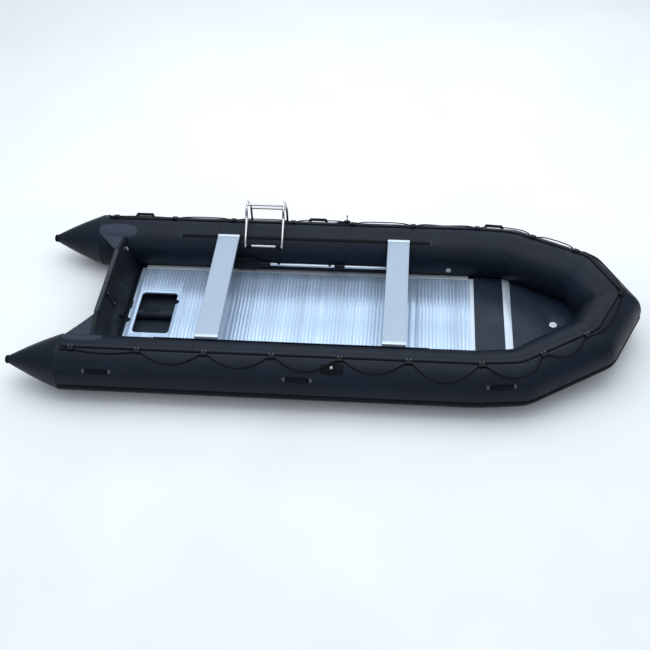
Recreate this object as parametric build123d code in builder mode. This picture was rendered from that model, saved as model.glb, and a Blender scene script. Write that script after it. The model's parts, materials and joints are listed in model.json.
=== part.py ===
from build123d import *
import os
from math import asin, cos, degrees, radians, sin, sqrt, tan

os.makedirs("parts", exist_ok=True)

# Inflatable dinghy with two side tubes, a mitred bow, a ribbed aluminium floor and a raked transom.
# Millimetres. +X points to the bow, +Y to port, +Z up. The tubes rest on Z = 0 and the origin is
# under the middle of the hull's box. A station is a distance forward of the stern cones' base.

# Tubes
tube_radius = 250.0
tube_half_spacing = 850.0
straight_length = 3690.0
fabric = 1.5
cone_length = 484.0
cone_tip_radius = 34.0
cone_cap_length = 26.0
glue_gap = 0.2
clearance = 0.3

# Bow, as panels after the straight tube: length along the axis, turn inward and rise
shoulder_length = 372.0
shoulder_angle = 5.4
shoulder_rise = 8.0
quarter_length = 742.0
quarter_angle = 30.4
quarter_rise = 54.0
stem_angle = 63.4
stem_rise = 8.0

# Strips glued to the tubes, by the angle from the tube's top (outboard is positive)
strake_angle = 105.0
strake_width = 62.0
strake_thickness = 11.0
rail_angle = 11.0
rail_width = 22.0
rail_thickness = 13.0
rail_start = 80.0
tape_width = 64.0
tape_thickness = 1.2
rope_diameter = 12.0
rope_angle = 17.6
rope_lift = 10.0
holder_length = 50.0
holder_height = 24.0
holder_pitch = 590.0
holder_start = 150.0

# Floor
floor_top = 120.0
floor_thickness = 20.0
floor_start = 425.0
floor_half_width = 598.0
rib_pitch = 33.0
rib_width = 13.0
rib_height = 2.0
joiner_width = 64.0
joiner_lift = 2.5
end_profile_width = 38.0
stringer_inner = 578.0
stringer_height = 34.0
hatch_start = 500.0
hatch_end = 850.0
hatch_port = 240.0
hatch_starboard = 315.0
hatch_corner = 40.0

# Transom
transom_station = 275.0
transom_rake = 17.0
transom_thickness = 36.0
transom_top = 492.0
transom_half_top = 435.0
transom_foot = 96.0
transom_shoulder_drop = 52.0

# Seats
seat_width = 206.0
seat_thickness = 25.0
seat_half_length = 707.0
seat_cap_length = 34.0
aft_seat_station = 1312.0
front_seat_back = 723.0
seat_rail_angle = 33.5
seat_rail_width = 26.0
seat_rail_thickness = 8.0
seat_rail_start = 840.0
seat_rail_back = 420.0

# Oars
oar_station = 1320.0
oar_length = 1640.0
oar_shaft_radius = 14.0
oar_offset = 29.0
oar_height = 245.0
blade_length = 400.0
blade_width = 150.0
blade_thickness = 10.0

# Boarding ladder
ladder_station = 1655.0
ladder_half_width = 180.0
ladder_pipe = 12.5
ladder_knuckle_height = 592.0
ladder_peak = 702.0


def turn(length, angle):
    return Vector(length * cos(radians(angle)), -length * sin(radians(angle)), 0)


# Axis of the port half of the tube, from the cone's base to the stem
base_point = Vector(0, tube_half_spacing, tube_radius)
shoulder_point = base_point + Vector(straight_length, 0, 0)
quarter_point = shoulder_point + turn(shoulder_length, shoulder_angle) + Vector(0, 0, shoulder_rise)
nose_point = quarter_point + turn(quarter_length, quarter_angle) + Vector(0, 0, quarter_rise)
stem_run = nose_point.Y / sin(radians(stem_angle))
stem_point = nose_point + turn(stem_run, stem_angle) + Vector(0, 0, stem_rise)
aft_end = -(cone_length + cone_cap_length)
fore_end = stem_point.X + (tube_radius + strake_thickness) / sin(radians(stem_angle))
middle = Vector((aft_end + fore_end) / 2, 0, 0)
tube_axis = [p - middle for p in (base_point, shoulder_point, quarter_point, nose_point, stem_point)]
run_count = len(tube_axis) - 1
deep = 2 * tube_radius


def x_at(station):
    return station - middle.X


def run_direction(run):
    return (tube_axis[run + 1] - tube_axis[run]).normalized()


def run_length(run):
    return (tube_axis[run + 1] - tube_axis[run]).length


def run_outboard(run):
    heading = run_direction(run)
    return Vector(-heading.Y, heading.X, 0).normalized()


def run_plane(run, distance):
    """Cross-section of the tube: local X is outboard and local Y is up."""
    origin = tube_axis[run] + run_direction(run) * distance
    return Plane(origin=origin, x_dir=run_outboard(run), z_dir=run_direction(run))


def mitre_plane(vertex):
    """The plane in which two runs of the tube meet."""
    if vertex == run_count:
        return Plane(origin=tube_axis[vertex], z_dir=(0, -1, 0))
    return Plane(origin=tube_axis[vertex], z_dir=run_direction(vertex - 1) + run_direction(vertex))


def radial_point(run, distance, angle, height):
    """A point at an angle from the tube's top and a height above its skin."""
    section = run_plane(run, distance)
    reach = tube_radius + height
    return section.from_local_coords((reach * sin(radians(angle)), reach * cos(radians(angle)), 0))


def skin_plane(run, distance, angle, height):
    """A plane on the skin: local X runs forward and local Z points away from the tube."""
    origin = radial_point(run, distance, angle, height)
    outward = origin - radial_point(run, distance, angle, -tube_radius)
    return Plane(origin=origin, x_dir=run_direction(run), z_dir=outward)


def side_plane(run, distance, angle, height):
    """A plane that stands on the skin: local X runs forward and local Y points away from the tube."""
    skin = skin_plane(run, distance, angle, height)
    return Plane(origin=skin.origin, x_dir=skin.x_dir, z_dir=-skin.y_dir)


def along_run(run, start, end, section):
    """Extrudes a section along one run; None for an end means cut by the mitre there."""
    first = -deep if start is None else start
    last = run_length(run) + deep if end is None else end
    with BuildPart() as piece:
        with BuildSketch(run_plane(run, first)):
            add(section)
        extrude(amount=last - first)
        if start is None:
            split(bisect_by=mitre_plane(run), keep=Keep.TOP)
        if end is None:
            split(bisect_by=mitre_plane(run + 1), keep=Keep.BOTTOM)
    return piece.part


def strip(angle, width, low, high):
    """The section of a strip that lies on the tube between two heights above its skin."""
    half = degrees(width / 2 / (tube_radius + high))

    def at(height, bearing):
        reach = tube_radius + height
        return (reach * sin(radians(bearing)), reach * cos(radians(bearing)))

    with BuildSketch() as section:
        with BuildLine():
            ThreePointArc(at(low, angle - half), at(low, angle), at(low, angle + half))
            Line(at(low, angle + half), at(high, angle + half))
            ThreePointArc(at(high, angle + half), at(high, angle), at(high, angle - half))
            Line(at(high, angle - half), at(low, angle - half))
        make_face()
    return section.sketch


with BuildSketch() as ring:
    Circle(tube_radius)
    Circle(tube_radius - fabric, mode=Mode.SUBTRACT)

with BuildSketch() as disc:
    Circle(tube_radius + clearance)

with BuildSketch() as baffle_disc:
    Circle(tube_radius - fabric - clearance)


def save(piece, name):
    piece.label = name
    export_step(piece, "parts/" + name + ".step")


# Tube skins

side_panel = along_run(0, 0, None, ring.sketch)
with BuildPart() as side_tubes:
    add(side_panel)
    mirror(about=Plane.XZ)
save(side_tubes.part, "side_tubes")

quarter_panels = [along_run(run, None, None, ring.sketch) for run in (1, 2)]
with BuildPart() as bow_quarter_tubes:
    for panel in quarter_panels:
        add(panel)
    mirror(about=Plane.XZ)
save(bow_quarter_tubes.part, "bow_quarter_tubes")

stem_panel = along_run(3, None, None, ring.sketch)
with BuildPart() as stem_tube:
    add(stem_panel)
    mirror(about=Plane.XZ)
save(stem_tube.part, "stem_tube")

# The space that the tubes fill, for cutting what butts against them
keepout_panels = [along_run(0, -cone_length, None, disc.sketch)]
keepout_panels += [along_run(run, None, None, disc.sketch) for run in range(1, run_count)]
with BuildPart() as tube_space:
    for panel in keepout_panels:
        add(panel)
    mirror(about=Plane.XZ)

# Stern cones and their rubber end caps

aft_view = Plane(origin=tube_axis[0], x_dir=(-1, 0, 0), z_dir=(0, 1, 0))
tube_line = Axis(tube_axis[0], (1, 0, 0))

with BuildPart() as stern_cones:
    with BuildSketch(aft_view):
        with BuildLine():
            Polyline(
                (0, tube_radius),
                (cone_length, cone_tip_radius),
                (cone_length, cone_tip_radius - fabric),
                (0, tube_radius - fabric),
                close=True,
            )
        make_face()
    revolve(axis=tube_line)
    mirror(about=Plane.XZ)
save(stern_cones.part, "stern_cones")

cap_radius = cone_tip_radius + 4
with BuildPart() as cone_end_caps:
    with BuildSketch(aft_view):
        with Locations((cone_length + cone_cap_length / 2, cap_radius / 2)):
            Rectangle(cone_cap_length, cap_radius)
    revolve(axis=tube_line)
    cap_rim = cone_end_caps.edges().filter_by(GeomType.CIRCLE).group_by(Axis.X)[0]
    fillet(cap_rim, cone_cap_length * 0.7)
    mirror(about=Plane.XZ)
save(cone_end_caps.part, "cone_end_caps")

# Baffles that divide the tubes into air chambers

baffle_stations = (1230.0, 2460.0)

baffles = [along_run(0, station, station + fabric, baffle_disc.sketch) for station in baffle_stations]
with BuildPart() as chamber_baffles:
    for baffle in baffles:
        add(baffle)
    mirror(about=Plane.XZ)
save(chamber_baffles.part, "chamber_baffles")

# Bottom skin, a shallow V from the transom to the stem

attach_angle = 25.0
skin_low = 6.0
skin_thickness = 2.0
attach_in = tube_radius * sin(radians(attach_angle))
attach_down = tube_radius * cos(radians(attach_angle))
skin_overlap = 12.0


def skin_section(station, half_width, edge_height, keel_height):
    """A thin V across the boat, deeper at the keel."""
    with BuildSketch(Plane(origin=(station, 0, 0), x_dir=(0, 1, 0), z_dir=(1, 0, 0))) as section:
        with BuildLine():
            Polyline(
                (-half_width, edge_height),
                (0, keel_height),
                (half_width, edge_height),
                (half_width, edge_height + skin_thickness),
                (0, keel_height + skin_thickness),
                (-half_width, edge_height + skin_thickness),
                close=True,
            )
        make_face()
    return section.sketch


def inner_corner(vertex):
    """Where the bottom skin's seam turns, inboard of a corner of the tube."""
    before = run_outboard(vertex - 1)
    after = run_outboard(vertex)
    return tube_axis[vertex] - (before + after) * (attach_in / (1 + before.dot(after)))


skin_start = x_at(transom_station + 60)
shoulder_seam = inner_corner(1)
quarter_seam = inner_corner(2)
nose_seam = inner_corner(3)
stem_seam_x = tube_axis[4].X - attach_in / sin(radians(stem_angle))
seam_drop = Vector(0, 0, attach_down)
skin_sections = [
    skin_section(skin_start, shoulder_seam.Y + skin_overlap, tube_radius - attach_down, skin_low),
    skin_section(shoulder_seam.X, shoulder_seam.Y + skin_overlap, tube_radius - attach_down, skin_low),
    skin_section(quarter_seam.X, quarter_seam.Y + skin_overlap, (quarter_seam - seam_drop).Z, skin_low + 14),
    skin_section(nose_seam.X, nose_seam.Y + skin_overlap, (nose_seam - seam_drop).Z, skin_low + 48),
    skin_section(stem_seam_x, 2 * skin_overlap, tube_axis[4].Z - attach_down, skin_low + 80),
]
with BuildPart() as bottom_skin:
    loft(skin_sections, ruled=True)
    add(tube_space.part, mode=Mode.SUBTRACT)
save(bottom_skin.part, "bottom_skin")

# Inflatable keel between the bottom skin and the floor

keel_top = floor_top - floor_thickness - joiner_lift - 2 * clearance
keel_radius = (keel_top - skin_low - skin_thickness) / 2 - clearance
keel_height = keel_top - keel_radius
keel_start = x_at(floor_start + 15)
keel_end = x_at(straight_length - 20)
with BuildPart() as keel_tube:
    with BuildSketch(Plane(origin=(keel_start, 0, keel_height), x_dir=(0, 1, 0), z_dir=(1, 0, 0))):
        Circle(keel_radius)
        Circle(keel_radius - fabric, mode=Mode.SUBTRACT)
    extrude(amount=keel_end - keel_start)
save(keel_tube.part, "keel_tube")

# Rubbing strake round the outside of the hull

strake_section = strip(strake_angle, strake_width, glue_gap, strake_thickness)
strake_runs = [along_run(0, 20.0, None, strake_section)]
strake_runs += [along_run(run, None, None, strake_section) for run in range(1, run_count)]
with BuildPart() as rubbing_strake:
    for piece in strake_runs:
        add(piece)
    mirror(about=Plane.XZ)
save(rubbing_strake.part, "rubbing_strake")

# Grab-line rail on its band of tape, from the stern round the stem

tape_section = strip(rail_angle + 2.5, tape_width, glue_gap, glue_gap + tape_thickness)
tape_top = glue_gap + tape_thickness
rail_section = strip(rail_angle, rail_width, tape_top + glue_gap, rail_thickness)
tape_runs = [along_run(0, rail_start - 40, None, tape_section)]
tape_runs += [along_run(run, None, None, tape_section) for run in range(1, run_count)]
rail_runs = [along_run(0, rail_start, None, rail_section)]
rail_runs += [along_run(run, None, None, rail_section) for run in range(1, run_count)]

with BuildPart() as rail_tape:
    for piece in tape_runs:
        add(piece)
    mirror(about=Plane.XZ)
save(rail_tape.part, "rail_tape")

with BuildPart() as grab_rail:
    for piece in rail_runs:
        add(piece)
    mirror(about=Plane.XZ)
save(grab_rail.part, "grab_rail")

# Rope holders: a moulded loop over the rail with a tunnel for the grab line

holder_gap = 0.3
tunnel_gap = 1.8
quarter_holder = 195.0
nose_holder = 640.0
stem_holder_half = 28.0
side_holders = [(0, holder_start + holder_pitch * step) for step in range(6)]
side_holders += [(1, 30.0), (2, quarter_holder), (2, nose_holder)]
holder_mid = (rail_angle + rope_angle) / 2
holder_width = 54.0
holder_section = strip(holder_mid, holder_width, tape_top + glue_gap, holder_height)
rail_slot = strip(rail_angle, rail_width + 2 * holder_gap, 0, rail_thickness + holder_gap)
rope_reach = tube_radius + rope_lift
with BuildSketch() as rope_slot:
    with Locations((rope_reach * sin(radians(rope_angle)), rope_reach * cos(radians(rope_angle)))):
        Circle(rope_diameter / 2 + tunnel_gap)
with BuildSketch() as holder_shape:
    add(holder_section)
    add(rail_slot, mode=Mode.SUBTRACT)
    add(rope_slot.sketch, mode=Mode.SUBTRACT)

holder_bodies = []
for run, distance in side_holders:
    half = holder_length / 2
    holder_bodies.append(along_run(run, distance - half, distance + half, holder_shape.sketch))
holder_bodies.append(along_run(3, run_length(3) - stem_holder_half, None, holder_shape.sketch))
with BuildPart() as rope_holders:
    for piece in holder_bodies:
        add(piece)
    mirror(about=Plane.XZ)
save(rope_holders.part, "rope_holders")

# Two screws hold each rope holder, one at each end of its crown

screw_radius = 5.0
screw_head = 2.5
screw_in = 9.0
screw_spots = []
for run, distance in side_holders:
    for shift in (-1, 1):
        place = distance + shift * (holder_length / 2 - screw_in)
        screw_spots.append(skin_plane(run, place, rail_angle, holder_height + glue_gap))
with BuildPart() as holder_screws:
    with Locations(*screw_spots):
        Cylinder(screw_radius, screw_head, align=(Align.CENTER, Align.CENTER, Align.MIN))
    mirror(about=Plane.XZ)
save(holder_screws.part, "holder_screws")

# Grab line, hanging in a swag from each holder to the next

swag_depths = [6.0, 23.0, 25.0, 26.0, 26.0, 38.0, 27.0, 21.0, 9.0]
swag_shape = [0.0, 0.11, 0.30, 0.5, 0.70, 0.89, 1.0]
swag_lifts = [2.5, 2.5, 2.5, 8.0, 8.0, 2.5, 9.0, 14.0, 14.0]
tunnel_run = holder_length / 2 + 4
holder_places = side_holders + [(3, run_length(3))]


def travel(place):
    run, distance = place
    return sum(run_length(r) for r in range(run)) + distance


def rope_point(way, drop, swag_lift):
    """A point of the rope, by its way along the tube's axis and its angle below the rail."""
    run = 0
    while run < run_count - 1 and way > run_length(run):
        way -= run_length(run)
        run += 1
    lift = rope_lift if drop == 0 else rope_diameter / 2 + swag_lift
    return radial_point(run, way, rope_angle + drop, lift)


def rope_span(first, second, depth, swag_lift):
    start = travel(first) + tunnel_run
    end = travel(second) - tunnel_run
    if second == holder_places[-1]:
        end = travel(second) - stem_holder_half - 4
    points = [radial_point(first[0], first[1], rope_angle, rope_lift)]
    for share in swag_shape:
        drop = depth * 4 * share * (1 - share)
        points.append(rope_point(start + share * (end - start), drop, swag_lift))
    last = radial_point(second[0], second[1], rope_angle, rope_lift)
    if second == holder_places[-1]:
        beyond = points[-1].Y + rope_diameter
        last = points[-1] + Vector(beyond / tan(radians(stem_angle)), -beyond, 0)
    return points + [last]


def corner_radii(points):
    radii = []
    for before, corner, after in zip(points, points[1:], points[2:]):
        bend = radians((corner - before).get_angle(after - corner))
        shorter = min((corner - before).length, (after - corner).length)
        radii.append(0.45 * shorter / tan(max(bend, 0.002) / 2))
    return radii


span_points = [
    rope_span(first, second, depth, lift)
    for first, second, depth, lift in zip(holder_places, holder_places[1:], swag_depths, swag_lifts)
]
rope_spans = []
for points in span_points:
    with BuildPart() as span:
        with BuildLine() as route:
            FilletPolyline(*points, radius=corner_radii(points))
        with BuildSketch(Plane(origin=points[0], z_dir=points[1] - points[0])):
            Circle(rope_diameter / 2)
        sweep()
        split(bisect_by=Plane.XZ, keep=Keep.BOTTOM)
    rope_spans.append(span.part)
    print("rope span", round(route.wire().length), "radii", [round(r) for r in corner_radii(points)])

knot_radius = 13.0
with BuildSketch() as rope_section:
    with Locations((rope_reach * sin(radians(rope_angle)), rope_reach * cos(radians(rope_angle)))):
        Circle(rope_diameter / 2)
rope_tail = along_run(0, rail_start, holder_start, rope_section.sketch)
with BuildPart() as grab_line:
    add(rope_tail)
    with Locations(radial_point(0, rail_start - knot_radius, rope_angle, knot_radius + 1)):
        Sphere(knot_radius)
    for span in rope_spans:
        add(span)
    add(tube_space.part, mode=Mode.SUBTRACT)
    mirror(about=Plane.XZ)
    add(rail_tape.part, mode=Mode.SUBTRACT)
save(grab_line.part, "grab_line")

# Lifting handles: a rubber patch on the tube and a moulded grip with splayed ends

handle_angle = 60.0
handle_places = [(0, 390.0), (0, 2150.0), (1, 186.0)]
patch_length = 250.0
patch_width = 92.0
patch_thickness = 3.0
grip_half = 105.0
grip_rise = 46.0
grip_width = 30.0
grip_bar = 20.0
grip_splay = 24.0
grip_foot = 34.0

patch_section = strip(handle_angle, patch_width, glue_gap, patch_thickness)
patch_pieces = []
for run, distance in handle_places:
    half = patch_length / 2
    patch_pieces.append(along_run(run, distance - half, distance + half, patch_section))
with BuildPart() as handle_bases:
    for piece in patch_pieces:
        add(piece)
    mirror(about=Plane.XZ)
save(handle_bases.part, "handle_bases")

grip_side = grip_half - grip_splay
grip_seat = patch_thickness + glue_gap
grips = []
for run, distance in handle_places:
    with BuildPart() as grip:
        with BuildSketch(side_plane(run, distance, handle_angle, grip_seat)):
            with BuildLine():
                Polyline(
                    (-grip_half, 0),
                    (-grip_side, grip_rise),
                    (grip_side, grip_rise),
                    (grip_half, 0),
                    (grip_half - grip_foot, 0),
                    (grip_side - 16, grip_rise - grip_bar),
                    (16 - grip_side, grip_rise - grip_bar),
                    (grip_foot - grip_half, 0),
                    close=True,
                )
            make_face()
        extrude(amount=grip_width / 2, both=True)
    grips.append(grip.part)
with BuildPart() as handle_grips:
    for piece in grips:
        add(piece)
    mirror(about=Plane.XZ)
save(handle_grips.part, "handle_grips")

# Oarlocks: a rubber base, a stainless pin and the nut that keeps the oar on it

lock_station = 2447.0
lock_angle = 35.0
lock_plate_half = 98.0
lock_plate_width = 84.0
lock_boss_radius = 30.0
lock_boss_height = 24.0
pin_radius = 6.0
pin_depth = 14.0
pin_length = 66.0
nut_radius = 13.0
nut_height = 12.0
nut_drop = 4.0
thread_gap = 0.05
lock_skin = skin_plane(0, lock_station, lock_angle, 0)
lock_section = strip(lock_angle, lock_plate_width, glue_gap, 6.0)
lock_plate = along_run(0, lock_station - lock_plate_half, lock_station + lock_plate_half, lock_section)
with BuildPart() as oarlock_bases:
    add(lock_plate)
    with Locations(lock_skin):
        Cylinder(lock_boss_radius, lock_boss_height, align=(Align.CENTER, Align.CENTER, Align.MIN))
    add(tube_space.part, mode=Mode.SUBTRACT)
    with Locations(lock_skin.offset(lock_boss_height)):
        Hole(pin_radius + thread_gap, pin_depth)
    mirror(about=Plane.XZ)
save(oarlock_bases.part, "oarlock_bases")

with BuildPart() as oarlock_pins:
    with Locations(lock_skin.offset(lock_boss_height - pin_depth + glue_gap)):
        Cylinder(pin_radius, pin_length, align=(Align.CENTER, Align.CENTER, Align.MIN))
    mirror(about=Plane.XZ)
save(oarlock_pins.part, "oarlock_pins")

nut_rise = lock_boss_height - pin_depth + pin_length - nut_height - nut_drop
with BuildPart() as port_oarlock_nut:
    with BuildSketch(lock_skin.offset(nut_rise)):
        RegularPolygon(nut_radius, 6)
        Circle(pin_radius + thread_gap, mode=Mode.SUBTRACT)
    extrude(amount=nut_height)
save(port_oarlock_nut.part, "port_oarlock_nut")

with BuildPart() as starboard_oarlock_nut:
    mirror(port_oarlock_nut.part, about=Plane.XZ)
save(starboard_oarlock_nut.part, "starboard_oarlock_nut")

# Transom: a raked board between the tubes, its edge cap and motor plates

transom_plane = Plane(
    origin=(x_at(transom_station), 0, transom_top),
    x_dir=(0, 1, 0),
    z_dir=(cos(radians(transom_rake)), 0, sin(radians(transom_rake))),
)
transom_height = (transom_top - transom_foot) / cos(radians(transom_rake))
board_half = tube_half_spacing - 0.6 * tube_radius
drain_spot = (-150.0, 62.0 - transom_height)
drain_radius = 17.0
with BuildPart() as transom_board:
    with BuildSketch(transom_plane):
        with BuildLine():
            Polyline(
                (-transom_half_top, 0),
                (transom_half_top, 0),
                (board_half, -transom_shoulder_drop),
                (board_half, -transom_height),
                (-board_half, -transom_height),
                (-board_half, -transom_shoulder_drop),
                close=True,
            )
        make_face()
        with Locations(drain_spot):
            Circle(drain_radius, mode=Mode.SUBTRACT)
    extrude(amount=-transom_thickness)
    add(tube_space.part, mode=Mode.SUBTRACT)
save(transom_board.part, "transom_board")

edge_height = 14.0
edge_wall = 3.0
edge_half = transom_half_top - 5
edge_outer = transom_thickness + 2 * (edge_wall + glue_gap)
edge_inner = transom_thickness + 2 * glue_gap
with BuildPart() as transom_edge_cap:
    with BuildSketch(transom_plane.offset(edge_wall + glue_gap)):
        with Locations((0, edge_wall + glue_gap - edge_height / 2)):
            Rectangle(2 * edge_half, edge_height)
    extrude(amount=-edge_outer)
    with BuildSketch(transom_plane.offset(glue_gap)):
        with Locations((0, glue_gap - transom_height / 2)):
            Rectangle(3 * edge_half, transom_height)
    extrude(amount=-edge_inner, mode=Mode.SUBTRACT)
save(transom_edge_cap.part, "transom_edge_cap")

inner_plate_width = 330.0
inner_plate_drop = 190.0
outer_plate_width = 380.0
outer_plate_drop = 240.0
plate_thickness = 9.0
plate_top = 22.0
plate_corner = 14.0
bolt_radius = 8.0
bolt_head = 4.0
bolt_inset = 26.0
bolt_sink = 0.3
bolt_gap = 0.1
plate_face = transom_plane.offset(plate_thickness + glue_gap)
with BuildSketch() as bolt_spots:
    with Locations((0, -plate_top - inner_plate_drop / 2)):
        with GridLocations(inner_plate_width - 2 * bolt_inset, inner_plate_drop - 2 * bolt_inset, 2, 2):
            Circle(bolt_radius)
with BuildSketch() as bolt_pockets:
    with Locations((0, -plate_top - inner_plate_drop / 2)):
        with GridLocations(inner_plate_width - 2 * bolt_inset, inner_plate_drop - 2 * bolt_inset, 2, 2):
            Circle(bolt_radius + bolt_gap)
with BuildPart() as motor_plates:
    with BuildSketch(transom_plane.offset(glue_gap)):
        with Locations((0, -plate_top - inner_plate_drop / 2)):
            RectangleRounded(inner_plate_width, inner_plate_drop, plate_corner)
    extrude(amount=plate_thickness)
    with BuildSketch(plate_face):
        add(bolt_pockets.sketch)
    extrude(amount=-(bolt_sink + bolt_head + bolt_gap), mode=Mode.SUBTRACT)
    with BuildSketch(transom_plane.offset(-transom_thickness - glue_gap)):
        with Locations((0, -plate_top - outer_plate_drop / 2)):
            RectangleRounded(outer_plate_width, outer_plate_drop, plate_corner)
    extrude(amount=-plate_thickness)
save(motor_plates.part, "motor_plates")

# Bolt heads sunk just below the inner plate's face

with BuildPart() as motor_plate_bolts:
    with BuildSketch(plate_face.offset(-bolt_sink)):
        add(bolt_spots.sketch)
    extrude(amount=-bolt_head)
save(motor_plate_bolts.part, "motor_plate_bolts")

# Drain through the transom, with a plug that pulls out inboard

flange_radius = 27.0
flange_thickness = 3.0
drain_wall = 3.0
plug_gap = 0.25
plug_rim = 6.0
plug_length = 22.0
drain_plane = transom_plane.offset(glue_gap)
with BuildPart() as drain_bush:
    with BuildSketch(drain_plane):
        with Locations(drain_spot):
            Circle(flange_radius)
            Circle(drain_radius - drain_wall, mode=Mode.SUBTRACT)
    extrude(amount=flange_thickness)
    with BuildSketch(drain_plane):
        with Locations(drain_spot):
            Circle(drain_radius - clearance)
            Circle(drain_radius - drain_wall, mode=Mode.SUBTRACT)
    extrude(amount=-transom_thickness)
save(drain_bush.part, "drain_bush")

plug_plane = drain_plane.offset(flange_thickness + glue_gap)
with BuildPart() as drain_plug:
    with BuildSketch(plug_plane):
        with Locations(drain_spot):
            Circle(drain_radius + 4)
    extrude(amount=plug_rim)
    with BuildSketch(plug_plane):
        with Locations(drain_spot):
            Circle(drain_radius - drain_wall - plug_gap)
    extrude(amount=-plug_length)
    with BuildSketch(plug_plane.offset(plug_rim)):
        with Locations(drain_spot):
            Rectangle(6, 24)
    extrude(amount=12)
save(drain_plug.part, "drain_plug")

# Lifting ring near the port end of the transom, hanging in its eye

ring_spot = (560.0, -96.0)
eye_pad = 19.0
eye_pad_thickness = 3.0
eye_lug = 16.0
eye_reach = 17.0
eye_hole = 3.8
ring_mean = 18.0
ring_wire = 3.0
eye_centre = transom_plane.from_local_coords((ring_spot[0], ring_spot[1], eye_reach))
lug_plane = Plane(origin=eye_centre, x_dir=transom_plane.z_dir, z_dir=(0, 1, 0))
with BuildPart() as transom_eye:
    with BuildSketch(transom_plane.offset(glue_gap)):
        with Locations(ring_spot):
            Circle(eye_pad)
    extrude(amount=eye_pad_thickness)
    with BuildSketch(lug_plane):
        with Locations((-eye_reach / 2 + 1, 0)):
            Rectangle(eye_reach, eye_lug)
        Circle(eye_lug / 2)
    extrude(amount=2.5, both=True)
    with BuildSketch(lug_plane):
        Circle(eye_hole)
    extrude(amount=4, both=True, mode=Mode.SUBTRACT)
save(transom_eye.part, "transom_eye")

with BuildPart() as transom_ring:
    with Locations(Plane(origin=eye_centre - Vector(0, 0, ring_mean), z_dir=(1, 0, 0))):
        Torus(ring_mean, ring_wire)
save(transom_ring.part, "transom_ring")

# Fabric flanges that hold the transom to the tubes, and a gusset behind each corner

transom_grip_angle = -26.0
flange_section = strip(transom_grip_angle, 92.0, glue_gap, 3.0)
flange_band = along_run(0, 2.0, 392.0, flange_section)
with BuildPart() as transom_flanges:
    add(flange_band)
    mirror(about=Plane.XZ)
save(transom_flanges.part, "transom_flanges")

gusset_inner = transom_plane.from_local_coords((transom_half_top + 10, -14, -transom_thickness - 3))
gusset_outer = transom_plane.from_local_coords((board_half, -60, -transom_thickness - 3))
gusset_aft = Vector(x_at(20), tube_half_spacing - 138, 2 * tube_radius - 58)
gusset_plane = Plane(
    origin=gusset_inner,
    x_dir=gusset_outer - gusset_inner,
    z_dir=(gusset_outer - gusset_inner).cross(gusset_aft - gusset_inner),
)
with BuildPart() as transom_gussets:
    with BuildSketch(gusset_plane):
        with BuildLine():
            Polyline(
                (0, 0),
                tuple(gusset_plane.to_local_coords(gusset_outer))[:2],
                tuple(gusset_plane.to_local_coords(gusset_aft))[:2],
                close=True,
            )
        make_face()
    extrude(amount=3)
    add(tube_space.part, mode=Mode.SUBTRACT)
    mirror(about=Plane.XZ)
save(transom_gussets.part, "transom_gussets")

# Floor panels: planks with ribs across the boat, joined by H profiles, with a hatch aft

joiner_stations = (1385.0, 2250.0, 3118.0)
front_edge = straight_length + 6.0
panel_ends = [floor_start] + list(joiner_stations) + [front_edge]
web = 4.0
rib_margin = 40.0
floor_view = Plane(origin=(0, floor_half_width, 0), x_dir=(1, 0, 0), z_dir=(0, -1, 0))


def floor_panel(start, end):
    """One panel with raised ribs, from its profile seen from the side."""
    first = start + web / 2 + clearance
    last = end - web / 2 - clearance
    outline = [(x_at(first), floor_top - floor_thickness), (x_at(last), floor_top - floor_thickness)]
    outline.append((x_at(last), floor_top))
    place = last - rib_margin
    while place > first + rib_margin:
        outline += [(x_at(place), floor_top), (x_at(place - 1), floor_top + rib_height)]
        outline += [(x_at(place - rib_width + 1), floor_top + rib_height)]
        outline += [(x_at(place - rib_width), floor_top)]
        place -= rib_pitch
    outline.append((x_at(first), floor_top))
    with BuildPart() as panel:
        with BuildSketch(floor_view):
            with BuildLine():
                Polyline(*outline, close=True)
            make_face()
        extrude(amount=2 * floor_half_width)
    return panel.part


hatch_middle = (x_at((hatch_start + hatch_end) / 2), (hatch_port - hatch_starboard) / 2)
hatch_length = hatch_end - hatch_start
hatch_width = hatch_port + hatch_starboard
drain_notch = 34.0
strap_notch = 30.0
hatch_frame = 26.0
aft_blank = floor_panel(panel_ends[0], panel_ends[1])
with BuildPart() as aft_floor_panel:
    add(aft_blank)
    with BuildSketch(Plane.XY.offset(floor_top)):
        with Locations(hatch_middle):
            Rectangle(hatch_length + 2 * hatch_frame, hatch_width + 2 * hatch_frame)
    extrude(amount=2 * rib_height, mode=Mode.SUBTRACT)
    with BuildSketch(Plane.XY):
        with Locations(hatch_middle):
            RectangleRounded(hatch_length, hatch_width, hatch_corner)
        with Locations((x_at(hatch_end), hatch_port / 2)):
            Circle(strap_notch)
        with Locations((x_at(floor_start), drain_spot[0])):
            Circle(drain_notch)
        with Locations((x_at(floor_start), 60)):
            Rectangle(26, 110)
    extrude(amount=2 * floor_top, mode=Mode.SUBTRACT)
save(aft_floor_panel.part, "aft_floor_panel")

plain_panels = [floor_panel(start, end) for start, end in zip(panel_ends[1:], panel_ends[2:])]
with BuildPart() as plain_floor_panels:
    for panel in plain_panels:
        add(panel)
save(plain_floor_panels.part, "plain_floor_panels")

joiners = []
for station in joiner_stations:
    with BuildPart() as joiner:
        for height in (floor_top - floor_thickness - clearance - joiner_lift, floor_top + clearance):
            with BuildSketch(Plane.XY.offset(height)):
                with Locations((x_at(station), 0)):
                    Rectangle(joiner_width, 2 * floor_half_width)
            extrude(amount=joiner_lift)
        with BuildSketch(Plane.XY.offset(floor_top - floor_thickness - clearance - joiner_lift)):
            with Locations((x_at(station), 0)):
                Rectangle(web, 2 * floor_half_width)
        extrude(amount=floor_thickness + 2 * clearance + 2 * joiner_lift)
    joiners.append(joiner.part)
with BuildPart() as floor_joiners:
    for joiner in joiners:
        add(joiner)
save(floor_joiners.part, "floor_joiners")

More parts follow.
